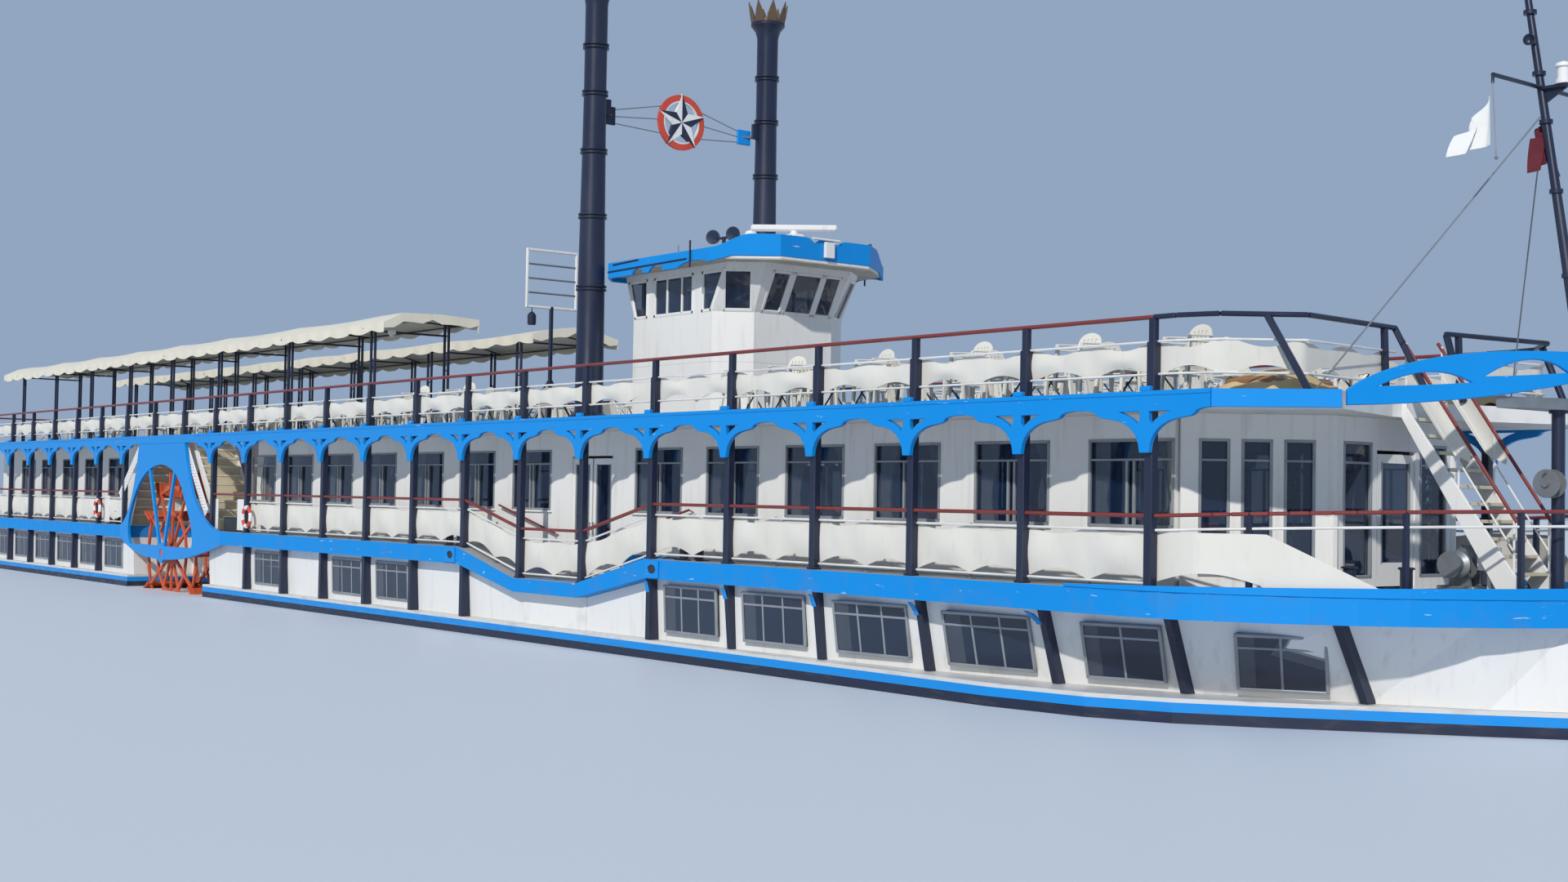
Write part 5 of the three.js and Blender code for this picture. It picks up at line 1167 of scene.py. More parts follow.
def promenade(name, side):
    work = Work("navy_paint")
    y = side * POST_Y
    for x in (post_x(index) for index in range(POSTS) if index not in WHEEL_POSTS):
        foot = main_base(x) + 0.004
        work.post(x, y, POST / 2, POST / 2, (foot, POST_TOP), 0.014)
        work.post(x, y, 0.095, 0.09, (foot, foot + 0.035), 0.008)
    dip = (DIP_FORE + PITCH, DIP_FORE, DIP_AFT, DIP_AFT - PITCH)
    for stops, tube_end, bays in (((0.0, *dip, -35.0), -32.5, range(13)), ((-42.5, -60.0), -60.0, range(17, 24))):
        work.use("rail_paint").run([(x, y, rail_top(x)) for x in stops], RAIL_WIDE, RAIL_HIGH, RAIL_WIDE * 0.22)
        work.use("white_tube")
        for rise in (0.85, 0.10):
            work.pipe([(x, y - side * 0.05, main_base(x) + rise) for x in (*stops[:-1], tube_end)], 0.02)
        work.use("steel_grey")
        for x in (post_x(index + 0.5) for index in bays):
            inner, base = y - side * 0.13, main_base(x)
            work.tube((x, inner, base), (x, inner, base + 0.88), 0.022)
            work.tube((x, inner, base), (x, inner, base + 0.02), 0.06)
    work.use("rail_paint")
    for low_end, high_end in ((DIP_FORE + 0.05, DIP_FORE + PITCH), (DIP_AFT - 0.05, DIP_AFT - PITCH)):
        grip = [(x, side * (WALL_Y + 0.11), main_base(x) + 0.95) for x in (low_end, high_end)]
        work.tube(*grip, 0.024)
        for x, wall_y, z in grip:
            work.tube((x, side * (WALL_Y + 0.004), z - 0.05), (x, wall_y, z), 0.012)
    toe = bow_run(0.045, side, start=-2.0)
    work.use("blue_paint")
    wall_along(work, toe, lambda x: DECK + 0.002, toe_top, 0.06)
    rail = [(0.0, y)] + bow_run(0.16, side, start=0.6)
    work.use("rail_paint").run([(x, py, rail_top(x)) for x, py in rail], 0.075, 0.055, 0.015)
    work.use("white_tube").pipe([(x, py, DECK + 0.85 + x * 0.04) for x, py in rail], 0.02)
    work.use("navy_paint")
    for x, py in (rail[3], rail[len(rail) // 2 + 1], rail[-3]):
        work.post(x, py, 0.04, 0.04, (ON_DECK, rail_top(x)), 0.01)
    work.even()
    work.piece(f"promenade_dressed_{name}", slot="navy",
               replaces=[f"promenade_{name}_fore", f"promenade_{name}_aft"])


both_sides(promenade)

# Upper rail: posts, a red-brown hand rail that turns black round the bow, two tubes and the cloth
BOW_RAIL = ((0.4, UPPER_POST_Y), (1.0, 4.0), (1.75, 3.05), (1.5, 0.64))


def upper_rail(name, side):
    work = Work("navy_paint")
    y = side * UPPER_POST_Y
    for index in range(POSTS):
        x = post_x(index)
        for half, top in ((POST / 2, UPPER + 0.71), (0.055, UPPER_RAIL - 0.02)):
            work.post(x, y, half, half, (ON_UPPER, top), 0.012)
    work.use("rail_paint").beam((post_x(POSTS - 1) - 0.2, y, UPPER_RAIL), (0.0, y, UPPER_RAIL), 0.09, 0.06, 0.018)
    work.use("navy_paint")
    work.run([(0.0, y, UPPER_RAIL)] + [(x, side * py, UPPER_RAIL) for x, py in BOW_RAIL], 0.09, 0.07, 0.018)
    for foot, head in (((1.95, 3.3), (1.4, 3.5)), ((1.62, 1.35), (1.62, 1.35)), ((1.56, 0.95), (1.52, 0.95)),
                       ((1.95, 0.42), (1.5, 0.66))):
        work.beam((foot[0], side * foot[1], ON_UPPER), (head[0], side * head[1], UPPER_RAIL), 0.09, 0.09, 0.014)
    work.use("white_tube")
    for rise in (0.25, 0.71):
        work.tube((post_x(POSTS - 1), y - side * 0.03, UPPER + rise), (0.4, y - side * 0.03, UPPER + rise), 0.018)
        work.pipe([(x - 0.03, side * (py - 0.03), UPPER + rise) for x, py in BOW_RAIL], 0.018)
    work.piece(f"upper_rail_dressed_{name}", slot="navy", replaces=[f"upper_rail_{name}"])
    cloth = Work("canvas")
    for index in range(POSTS - 1):
        bay_cloth(cloth, index, side, lambda x: UPPER, HIGH_CLOTH, index * 1.9 + side)

    bends = ((0.0, 4.12), (0.7, 4.10), (1.0, 3.94), (1.68, 3.06), (1.47, 0.86))
    whole = sum(map(dist, bends, bends[1:]))

    def round_the_bow(along, up):
        low, high = scallops(HIGH_CLOTH, along * 2)
        x, y = walk(bends, along * whole)
        return (x, side * y, UPPER + low + (high - low) * up)
    hang(cloth, 56, 5, round_the_bow)
    flat, area = strip_cut(HIGH_CLOTH, post_x(0) - post_x(POSTS - 1) + whole)
    cloth_piece(cloth, f"upper_cloth_dressed_{name}", "rail_cloth", flat,
                [f"upper_cloth_{name}"], area=area)


both_sides(upper_rail)

# Stern rails: round the end of each deck, from the last posts of the sides
STERN_LOW = ((-60.0, POST_Y), (-61.9, 4.21), (-62.62, 3.86), (-62.84, 3.25), (-62.84, 0.0))
STERN_HIGH = ((-60.0, UPPER_POST_Y), (-60.3, 4.13), (-60.4, 3.9), (-60.4, 0.0))


def stern_rails():
    work = Work("navy_paint")
    for half, base, top, gaps in ((STERN_LOW, DECK, HAND_RAIL, 5), (STERN_HIGH, UPPER, UPPER_RAIL, 3)):
        line = list(half) + [(x, -y) for x, y in reversed(half[:-1])]
        work.use("rail_paint").run([(x, y, top) for x, y in line], RAIL_WIDE, RAIL_HIGH, 0.018)
        work.use("white_tube")
        for rise in (0.12, 0.36, 0.60, 0.83):
            work.pipe([(x, y, base + rise) for x, y in line], 0.018)
        work.use("navy_paint")
        x, wide = half[-1][0], half[-2][1]
        places = [(x, wide * (2 * share / gaps - 1)) for share in range(gaps + 1)]
        if base == DECK:
            places += [(-61.9, side * 4.21) for _, side in SIDES]
        for x, y in places:
            work.post(x, y, 0.045, 0.045, (base + 0.004, top - 0.02), 0.012)
            work.post(x, y, 0.08, 0.08, (base + 0.004, base + 0.03), 0.008)
    work.piece("stern_rails", slot="navy")


stern_rails()

# Bow board: a crested board each side of the mast's foot, with lens-shaped openings over a blue band
BOARD_FOOT, BOARD_PEAK = (2.48, 3.19), (3.96, 0.0)


def bow_board():
    work = Work("blue_paint")
    length = hypot(BOARD_PEAK[0] - BOARD_FOOT[0], BOARD_FOOT[1])
    for _, side in SIDES:
        outline = arc((0.0, 4.50), (length * 0.55, 4.57), (length, 4.92), 8) + [(length, 4.92), (length, 5.33)]
        outline += curve((length, 5.33), ((length * 0.62, 5.34), (length * 0.40, 5.20), 6),
                         ((length * 0.16, 5.05), (0.06, 4.76), 8)) + [(0.0, UPPER)]
        holes = []
        for start, end, low, high in ((0.13, 0.53, 4.77, 0.19), (0.585, 0.955, 4.95, 0.23)):
            a, b = (length * start, low), (length * end, low + 0.09)
            middle = (a[0] + b[0]) / 2
            holes.append(curve(a, ((middle, low + 0.03), b, 6), ((middle + 0.12, low + high * 2), a, 8)))
        run = (BOARD_PEAK[0] - BOARD_FOOT[0], -side * BOARD_FOOT[1], 0)
        start = Vector((BOARD_FOOT[0], side * BOARD_FOOT[1], 0))
        place = frame_of(start, run, (0, 0, 1)) @ moved(0, 0, -0.035)
        work.cut_sheet(outline, 0.07, place, holes, 0.01)
    work.block((3.87, 4.07), (-0.11, 0.11), (4.79, 5.40), 0.015)
    work.even()
    work.piece("bow_board_dressed", slot="blue", replaces=["bow_board"])


bow_board()

# Lower sides: black knees under the deck with blue gussets, and windows between them.
# Columns: x, half-breadth at the ledge, half-breadth under the deck
HOUSE_SIDES = ((3.9, 0.0, 0.0), (3.1, 0.74, 1.08), (1.75, 1.55, 2.25), (-0.5, 2.74, 3.17), (-2.5, 3.35, 3.72),
               (-5.0, 3.73, 3.98), (-7.5, 3.96, 4.08), (-10.0, 4.06, 4.12), (-61.0, 4.10, 4.11))
BOW_KNEES = ((1.75, 1.68, 2.37), (-0.5, 2.87, 3.29), (-2.5, 3.48, 3.84), (-5.0, 3.85, 4.09), (-7.5, 4.06, 4.20),
             (-10.0, 4.15, 4.26))
PLAIN_KNEES = (5, 8, 9, 10, 11, 12, 13, 18, 19, 20, 21, 22, 23, 24)
KNEE_Y = 4.28
SIDE_LOW, SIDE_HIGH = LEDGE + 0.004, DECK_LOW - 0.004


def house_y(x, z):
    """Half-breadth of the lower side at a place along it and a height."""
    for (x1, low1, high1), (x0, low0, high0) in zip(HOUSE_SIDES, HOUSE_SIDES[1:]):
        if x >= x0:
            share = (x - x0) / (x1 - x0)
            low, high = low0 + (low1 - low0) * share, high0 + (high1 - high0) * share
            return low + (high - low) * (z - LEDGE) / (DECK_LOW - LEDGE)
    return HOUSE_SIDES[-1][2]


def outward(side, start, end, base, top):
    """A frame on a wall: its origin under the middle of a stretch, u along the wall and w out of the ship."""
    low = Vector(((start + end) / 2, side * (base(start) + base(end)) / 2, 0))
    run = Vector((start - end, side * (base(start) - base(end)), 0)) * -side
    rise = Vector((0, side * (top((start + end) / 2) - base((start + end) / 2)), 1))
    return frame_of(low, run, rise)


def knees(name, side):
    work = Work("navy_paint")
    for x, foot, head in (*BOW_KNEES, *((post_x(index), KNEE_Y, KNEE_Y) for index in PLAIN_KNEES)):
        outline = [(foot - 0.25, SIDE_LOW), (foot + 0.02, SIDE_LOW), (head + 0.02, SIDE_HIGH),
                   (head - 0.25, SIDE_HIGH)]
        place = frame_of((x - side * 0.066, 0, 0), (0, side, 0), (0, 0, 1))
        work.cut_sheet(outline, 0.132, place, soft=0.008)
        if -12.6 < x < -2.0:
            work.use("blue_paint")
            low, bend, tip = SIDE_HIGH - 0.26, (head + 0.05, SIDE_HIGH - 0.06), (BEAM - 0.02, SIDE_HIGH)
            work.cut_sheet([(head, low)] + arc((head + 0.03, low), bend, tip, 4), 0.11,
                           frame_of((x - side * 0.055, 0, 0), (0, side, 0), (0, 0, 1)), soft=0.006)
            work.use("navy_paint")
    work.even()
    work.piece(f"knees_{name}", slot="navy")


def pane_frame(work, place, width, low, high, lights, transom, deep=0.04, bar=0.045):
    """The frame of a window with its bars: width across, lights side by side, a transom at a height."""
    half = width / 2
    depth = (0.0, deep)
    for u in (-half, half):
        work.block((u - bar / 2, u + bar / 2), (low, high), depth, 0.006, place)
    for v in (low, high):
        work.block((-half - bar / 2, half + bar / 2), (v - bar / 2, v + bar / 2), depth, 0.006, place)
    thin = bar * 0.75
    for i in range(1, lights):
        u = -half + width * i / lights
        work.block((u - thin / 2, u + thin / 2), (low, high), (0.0, deep * 0.8), 0.004, place)
    if transom:
        work.block((-half, half), (transom - thin / 2, transom + thin / 2), (0.0, deep * 0.7), 0.004, place)


HULL_LIGHTS = [(post_x(index) - 1.25, 1.66, 3) for index in (1, 2, 3, 4, 9, 10, 12, *range(17, 24))]
HULL_LIGHTS += [(-1.45, 1.25, 2), (0.62, 1.25, 2)]
LIGHT_LOW, LIGHT_HIGH, LIGHT_TRANSOM = 0.56, 1.42, 1.22


def hull_windows(name, side):
    work = Work("window_frame")
    for x, width, lights in HULL_LIGHTS:
        fore, aft = x + width / 2, x - width / 2
        place = outward(side, fore, aft, lambda at: house_y(at, 0.0), lambda at: house_y(at, 1.0))
        place = place @ moved(0, 0, 0.055 if x > -14 else 0.004)
        # A near-black box behind each pane is painted shade for the unlit room inside.
        work.use("dark_inside").block((-width / 2, width / 2), (LIGHT_LOW, LIGHT_HIGH), (-0.12, 0.008), 0.0, place)
        work.use("curtain")
        shade = -width * 0.5 if side < 0 else width * 0.5 - width * 0.2
        work.block((shade, shade + width * 0.2), (LIGHT_LOW + 0.02, LIGHT_HIGH - 0.02), (0.008, 0.014), 0.0, place)
        work.use("window_frame")
        pane_frame(work, place, width, LIGHT_LOW, LIGHT_HIGH, lights, LIGHT_TRANSOM, 0.045, 0.05)
        work.use("window_glass").block((-width / 2, width / 2), (LIGHT_LOW, LIGHT_HIGH), (0.022, 0.026), 0.0, place)
    work.piece(f"hull_windows_{name}", slot="grey")


both_sides(knees, hull_windows)

# Saloon windows: grey frames with two close bars in the middle, glass, tied curtains, and tables inside
WIDE, SILL, HEAD, BAR_HIGH = 1.68, 2.78, 4.10, 3.79
SALOON_BAYS = [post_x(index) - 1.25 for index in range(0, 14) if index != 6]
AFTER_BAYS = [post_x(index) - 1.25 for index in range(18, 23)]
WAIST_LIGHTS = (-36.0, -38.7, -41.4)


def wall_frame(side, x, y=WALL_Y):
    """A frame on an upright side wall, its w out of the ship."""
    return frame_of((x, side * y, 0), (-side, 0, 0), (0, 0, 1))


def saloon_windows(name, side):
    work = Work("window_frame")
    for x in SALOON_BAYS + AFTER_BAYS:
        place = wall_frame(side, x) @ moved(0, 0, -0.03)
        pane_frame(work, place, WIDE - 0.045, SILL + 0.022, HEAD - 0.022, 1, BAR_HIGH, 0.05)
        for u in (-0.07, 0.07):
            work.block((u - 0.022, u + 0.022), (SILL, BAR_HIGH), (0.0, 0.045), 0.005, place)
        work.use("white_paint")
        work.block((-WIDE / 2 - 0.06, WIDE / 2 + 0.06), (SILL - 0.05, SILL - 0.005), (0.03, 0.075), 0.01, place)
        work.use("window_frame")
    for x in WAIST_LIGHTS:
        place = wall_frame(side, x, 2.05) @ moved(0, 0, -0.03)
        pane_frame(work, place, 1.16, 2.92, 3.88, 2, 3.6, 0.05)
    work.use("window_glass")
    for stretch in ((-33.9, -17.2), (-15.3, -0.6), (-59.3, -43.7)):
        work.block(stretch, sorted((side * 3.196, side * 3.204)), (SILL - 0.05, HEAD + 0.05))
    work.block((-42.6, -35.0), sorted((side * 1.996, side * 2.004)), (2.85, 3.95))
    work.piece(f"saloon_windows_{name}", slot="grey")


def curtain_pair(work, side, x):
    """Two curtains, each drawn in to a tie two thirds of the way down."""
    for turn in (-1, 1):
        def place(along, up):
            drawn = 0.45 + 0.55 * (abs(up - 0.34) / 0.66) ** 1.3
            u = WIDE / 2 - 0.02 - 0.46 * drawn * along
            fold = 0.03 * sin(along * tau * 4)
            return (x + turn * u, side * (3.10 + fold), 2.72 + 1.40 * up)
        hang(work, 14, 6, place)


def curtains(name, side):
    work = Work("curtain")
    bays = SALOON_BAYS + AFTER_BAYS
    for x in bays:
        curtain_pair(work, side, x)
    cloth_piece(work, f"curtains_{name}", "white", (len(bays) * 2 * 0.55, 1.4),
                thick=0.008)


def chair():
    """A padded dining chair, its seat facing forward from the origin."""
    made = Work("chair_red")
    made.block((-0.21, 0.21), (-0.21, 0.21), (0.42, 0.50), 0.025)
    back = moved(-0.21, 0, 0.5) @ Matrix.Rotation(radians(-9), 4, "Y")
    made.block((-0.035, 0.035), (-0.20, 0.20), (0.02, 0.46), 0.025, back)
    made.use("table_wood")
    for x in (-0.18, 0.18):
        for y in (-0.18, 0.18):
            made.post(x, y, 0.02, 0.02, (0.0, 0.43))
    return made


def saloon_table():
    made = Work("linen")
    made.block((-0.42, 0.42), (-0.62, 0.62), (0.71, 0.745), 0.012)
    for y in (-0.62, 0.62):
        made.block((-0.42, 0.42), (y - 0.012, y + 0.012), (0.50, 0.73), 0.006)
    for x in (-0.42, 0.42):
        made.block((x - 0.012, x + 0.012), (-0.62, 0.62), (0.50, 0.73), 0.006)
    made.use("table_wood").tube((0, 0, 0.0), (0, 0, 0.72), 0.05)
    made.tube((0, 0, 0.0), (0, 0, 0.03), 0.26, 0.20, 12)
    return made


def saloon_inside(name, side):
    work = Work("linen")
    table, seat = saloon_table(), chair()
    for x in SALOON_BAYS + AFTER_BAYS:
        at = moved(x, side * 2.35, ON_DECK)
        work.stamp(table, at)
        for turn in (-1, 1):
            for across in (-0.32, 0.32):
                facing = Matrix.Rotation(0 if turn < 0 else pi, 4, "Z")
                work.stamp(seat, at @ moved(turn * 0.72, across, 0) @ facing)
    for made in (table, seat):
        made.bm.free()
    work.piece(f"saloon_tables_{name}", slot="white")


both_sides(saloon_windows, curtains, saloon_inside)


def door_glass(node):
    """The pane of a glazed leaf, the thin frame round it and its handles, riding with the leaf."""
    low, high = [ROW.inverted() @ Vector(corner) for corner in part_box(node)]
    along, across = (0, 1) if high.x - low.x > high.y - low.y else (1, 0)

    def turn(first, second):
        return (first, second) if along == 0 else (second, first)
    start, end, near, far = low[along], high[along], low[across], high[across]
    middle, glass, handle = (near + far) / 2, (low.z + 0.33, high.z - 0.11), low.z + 1.02
    work = Work("window_glass")
    work.block(*turn((start + 0.09, end - 0.09), (middle - 0.004, middle + 0.004)), glass)
    work.use("window_frame")
    for edge in (start + 0.115, end - 0.115):
        work.block(*turn((edge - 0.018, edge + 0.018), (near - 0.004, far + 0.004)), glass, 0.004)
    latch = end - 0.05 if node.endswith("aft") else start + 0.05
    work.use("steel_grey")
    for out in (near - 0.045, far + 0.045):
        spot, inside = turn(latch, out), turn(latch, middle)
        work.tube((*spot, handle - 0.14), (*spot, handle + 0.14), 0.014)
        for z in (handle - 0.12, handle + 0.12):
            work.tube((*spot, z), (*inside, z), 0.01)
    work.piece(f"{node}_glass", body=node, slot="grey")


for leaf in (*(f"boarding_door_{name}_{which}" for name, _ in SIDES for which in ("fore", "aft")),
             "front_door", "pilothouse_door"):
    door_glass(leaf)

# Front and stern of the saloon: tall panes, plants behind them, and a pillar at each corner
FRONT_X, FRONT_HALF, CORNER_X, CORNER_Y = 1.05, 1.5, -0.347, 3.2
TALL_LOW, TALL_HIGH = 2.12, 4.08
PANES = ((0.12, 0.32), (0.4, 0.6), (0.68, 0.88))


def saloon_ends():
    work = Work("window_frame")
    for _, side in SIDES:
        run = Vector((FRONT_X - CORNER_X, side * (FRONT_HALF - CORNER_Y), 0))
        ahead = run if side < 0 else -run
        for start, end in PANES:
            centre = Vector((CORNER_X, side * CORNER_Y, 0)) + run * (start + end) / 2
            place = frame_of(centre, ahead, (0, 0, 1)) @ moved(0, 0, 0.01)
            width = run.length * (end - start)
            pane_frame(work, place, width - 0.03, TALL_LOW, TALL_HIGH, 1, BAR_HIGH, 0.05)
        centre = Vector((CORNER_X, side * CORNER_Y, 0)) + run / 2
        work.use("window_glass")
        place = frame_of(centre, ahead, (0, 0, 1))
        work.block((-run.length * 0.44, run.length * 0.44), (2.08, 4.12), (-0.004, 0.004), 0.0, place)
        work.use("window_frame")
        place = frame_of((FRONT_X, side * 0.96, 0), (0, 1, 0), (0, 0, 1)) @ moved(0, 0, 0.01)
        pane_frame(work, place, 0.66, TALL_LOW, TALL_HIGH, 1, BAR_HIGH, 0.05)
        work.use("window_glass").post(FRONT_X, side * 0.96, 0.004, 0.35, (2.08, 4.12))
        work.use("window_frame")
    for y in (-2.2, 0.0, 2.2):
        place = frame_of((-59.6, y, 0), (0, -1, 0), (0, 0, 1))
        pane_frame(work, place, 1.36, SILL + 0.02, HEAD - 0.02, 2, BAR_HIGH, 0.05)
    work.use("window_glass").block((-59.556, -59.548), (-2.95, 2.95), (SILL - 0.05, HEAD + 0.05))
    work.piece("saloon_end_windows", slot="grey")


def plants():
    """Potted plants behind the tall panes: a pot, and arching leaves in tufts."""
    work = Work("table_wood")
    for index, (x, y) in enumerate(((-0.05, -2.35), (0.45, -1.75), (-0.05, 2.35), (0.45, 1.75))):
        place = moved(x, y, ON_DECK)
        work.use("table_wood").turned([(0.0, 0.0), (0.15, 0.0), (0.20, 0.36), (0.17, 0.36), (0.0, 0.30)], place, 12)
        work.tube((x, y, DECK + 0.3), (x + 0.03, y, DECK + 1.3), 0.02)
        work.use("leaf")
        for leaf in range(46):
            turn = leaf * 2.4 + index
            lean = 0.35 + 0.75 * ((leaf * 7) % 11) / 11
            base = Vector((x, y, DECK + 0.55 + 0.026 * leaf))
            out = Vector((cos(turn), sin(turn), 0))
            middle = base + out * 0.17 * lean + Vector((0, 0, 0.16))
            tip = base + out * 0.34 * lean + Vector((0, 0, 0.05))
            wide = out.cross(Vector((0, 0, 1))) * 0.035
            verts = [work.bm.verts.new(spot) for spot in (base, middle - wide, tip, middle + wide)]
            face = work.bm.faces.new(verts)
            face.material_index = work.index
    green = work.paints.index("leaf")
    leaves = [face for face in work.bm.faces if len(face.edges) == 4 and face.material_index == green]
    bmesh.ops.solidify(work.bm, geom=leaves, thickness=0.006)
    work.piece("potted_plants", slot="white")


saloon_ends()
plants()


def bow_cloth(name, side):
    """Canvas round the bow, under the main hand rail: one bay, and a corner that runs down to the toe board."""
    work = Work("canvas")
    line = [Vector(spot) for spot in ((0.0, 4.145), (0.7, 4.06), (1.45, 3.6), (2.05, 3.16), (2.63, 2.66))]
    lengths = [(b - a).length for a, b in zip(line, line[1:])]
    whole, bay = sum(lengths), sum(lengths[:2])

    def place(along, up):
        left = along * whole
        low, high = scallops(LOW_CLOTH, 0.5 * min(left / bay, 1.0))[0] + 0.02, LOW_CLOTH["top"] - 0.02
        if left > bay:
            slope = (left - bay) / (whole - bay)
            low, high = 0.06 + 0.05 * slope, LOW_CLOTH["top"] * (1 - slope) + 0.13 * slope
        x, y = walk(line, left)
        return (x, side * y, DECK + low + (max(high, low + 0.01) - low) * up)
    hang(work, 36, 6, place)
    deep, point = 0.79, 0.02
    cut = bay * (0.71 - LOW_CLOTH["rise"] * 2 / pi) + (whole - bay) * (deep + point) / 2
    cloth_piece(work, f"bow_cloth_{name}", "rail_cloth", (whole, deep), area=cut)


both_sides(bow_cloth)

# Foredeck: windlass, mooring posts, fairleads, and the stair with dark treads and red-brown rails
MOORING_POSTS = (((2.45, 1.75), (1.95, 2.35)), ((-11.3, 3.95), (-11.8, 3.95)), ((-20.7, 3.95), (-21.2, 3.95)))
FAIRLEADS = (-12.2, -20.3)
WINDLASS_X, WINDLASS_AXIS = 2.35, 0.42


def moorings(name, side):
    work = Work("navy_paint")
    for pair in MOORING_POSTS:
        for x, y in pair:
            work.turned([(0.0, 0.0), (0.11, 0.0), (0.11, 0.02), (0.086, 0.04), (0.086, 0.36), (0.115, 0.37),
                         (0.115, 0.392), (0.10, 0.40), (0.0, 0.402)], moved(x, side * y, ON_DECK), 20)
        (x0, y0), (x1, y1) = pair
        run = Vector((x1 - x0, side * (y1 - y0), 0)).normalized() * 0.17
        start, end = Vector((x0, side * y0, DECK + 0.012)) - run, Vector((x1, side * y1, DECK + 0.012)) + run
        work.beam(start, end, 0.26, 0.016, 0.006)
    work.use("blue_paint")
    for x in FAIRLEADS:
        place = wall_frame(side, x, BEAM)
        mouth = [(0.14 * cos(i * tau / 16), 1.73 + 0.085 * sin(i * tau / 16)) for i in range(16)]
        frame = [(-0.225, 1.56), (0.225, 1.56), (0.225, 1.90), (-0.225, 1.90)]
        work.cut_sheet(frame, 0.035, place, [mouth], 0.008)
        # A near-black patch fills each mouth as painted shade.
        work.use("dark_inside").block((-0.16, 0.16), (1.63, 1.83), (0.001, 0.006), 0.0, place)
        work.use("blue_paint")
    work.even()
    work.piece(f"moorings_{name}", slot="navy")


def windlass():
    work = Work("steel_grey")
    x, z = WINDLASS_X, ON_DECK
    axis = z + WINDLASS_AXIS
    work.post(x, 0, 0.30, 0.42, (z, z + 0.12), 0.015)
    work.post(x, 0, 0.22, 0.09, (z + 0.11, z + 0.62), 0.03)
    across = moved(x, 0, axis) @ Matrix.Rotation(pi / 2, 4, "X")
    work.tube((x, -0.54, axis), (x, 0.54, axis), 0.06, sides=16)
    for side in (-1, 1):
        drum = ((0.0, 0.325), (0.20, 0.325), (0.20, 0.35), (0.13, 0.39), (0.12, 0.46), (0.145, 0.52), (0.19, 0.555),
                (0.19, 0.57), (0.0, 0.57))
        work.turned([(r, side * out) for r, out in drum], across, 24)
        cheek = [(-0.18, 0.11), (0.18, 0.11), (0.12, 0.42)]
        cheek += curve((0.12, 0.42), ((0.12, 0.60), (0.0, 0.60), 5), ((-0.12, 0.60), (-0.12, 0.42), 5))
        cheek.append((-0.12, 0.42))
        work.cut_sheet(cheek, 0.05, upright(x, side * 0.28 + 0.025, z), soft=0.006)
        wheel = ((0.10, 0.12), (0.24, 0.12), (0.24, 0.14), (0.14, 0.165), (0.24, 0.19), (0.24, 0.21), (0.10, 0.21),
                 (0.10, 0.12))
        work.turned([(r, side * out) for r, out in wheel], across, 24)
    work.post(x, 0, 0.13, 0.11, (z + 0.61, z + 0.70), 0.02)
    work.tube((x - 0.12, 0.2, z + 0.30), (x - 0.55, 0.2, z + 0.30), 0.10, sides=20)
    work.use("white_paint").block((x + 0.30, x + 0.55), (-0.35, -0.10), (z + 0.35, z + 0.68), 0.015)
    work.tube((x + 0.42, -0.22, z), (x + 0.42, -0.22, z + 0.36), 0.03)
    work.even()
    work.piece("windlass_dressed", slot="grey", replaces=["windlass"], smooth=40)


def bow_stair():
    work = Work("white_paint")
    foot, head, half, low = 3.35, 1.503, 0.48, DECK + 0.003
    for side in (-1, 1):
        outline = [(foot, low), (foot - 0.26, low), (head, UPPER - 0.26), (head, UPPER), (foot, low + 0.26)]
        outer = half if side > 0 else 0.05 - half
        work.cut_sheet(outline, 0.05, upright(0, outer), soft=0.006)
        y = side * (half - 0.025)
        work.use("rail_paint").tube((foot - 0.02, y, low + 1.05), (head - 0.01, y, UPPER + 0.9), 0.026, sides=12)
        work.use("white_tube")
        half_way = (low + UPPER) / 2
        for x, z0, z1 in ((foot - 0.06, low + 0.12, low + 1.1), ((foot + head) / 2, half_way, half_way + 0.98),
                          (head + 0.06, UPPER - 0.16, UPPER + 0.85)):
            work.tube((x, y, z0), (x, y, z1), 0.018)
        work.tube((foot - 0.04, y, low + 0.6), (head + 0.02, y, UPPER + 0.45), 0.014)
        work.use("white_paint")
    for i in range(1, 11):
        share = i / 11
        x, z = foot + (head - foot) * share, low + 0.072 + (UPPER - low - 0.11) * share
        work.use("steel_grey").block((x - 0.11, x + 0.11), (-half + 0.03, half - 0.03), (z - 0.02, z + 0.02), 0.005)
        work.use("tread").block((x + 0.085, x + 0.115), (-half + 0.04, half - 0.04), (z - 0.024, z + 0.026), 0.004)
    work.even()
    work.piece("bow_stair_dressed", slot="white", replaces=["bow_stair"])


def stair_cloth(name, side):
    """A strip of canvas under the upper half of the stair's hand rail."""
    work = Work("canvas")

    def place(along, up):
        x = 2.62 - 1.06 * along
        rail = DECK + 1.053 + (3.33 - x) * 1.439
        deep = 0.46 * min(1.0, 0.35 + along * 2.2)
        return (x, side * (0.455 + 0.02 * sin(pi * up)), rail - 0.04 - deep * (1 - up))
    hang(work, 16, 4, place)
    cloth_piece(work, f"stair_cloth_{name}", "rail_cloth", (1.86, 0.263), area=0.44)


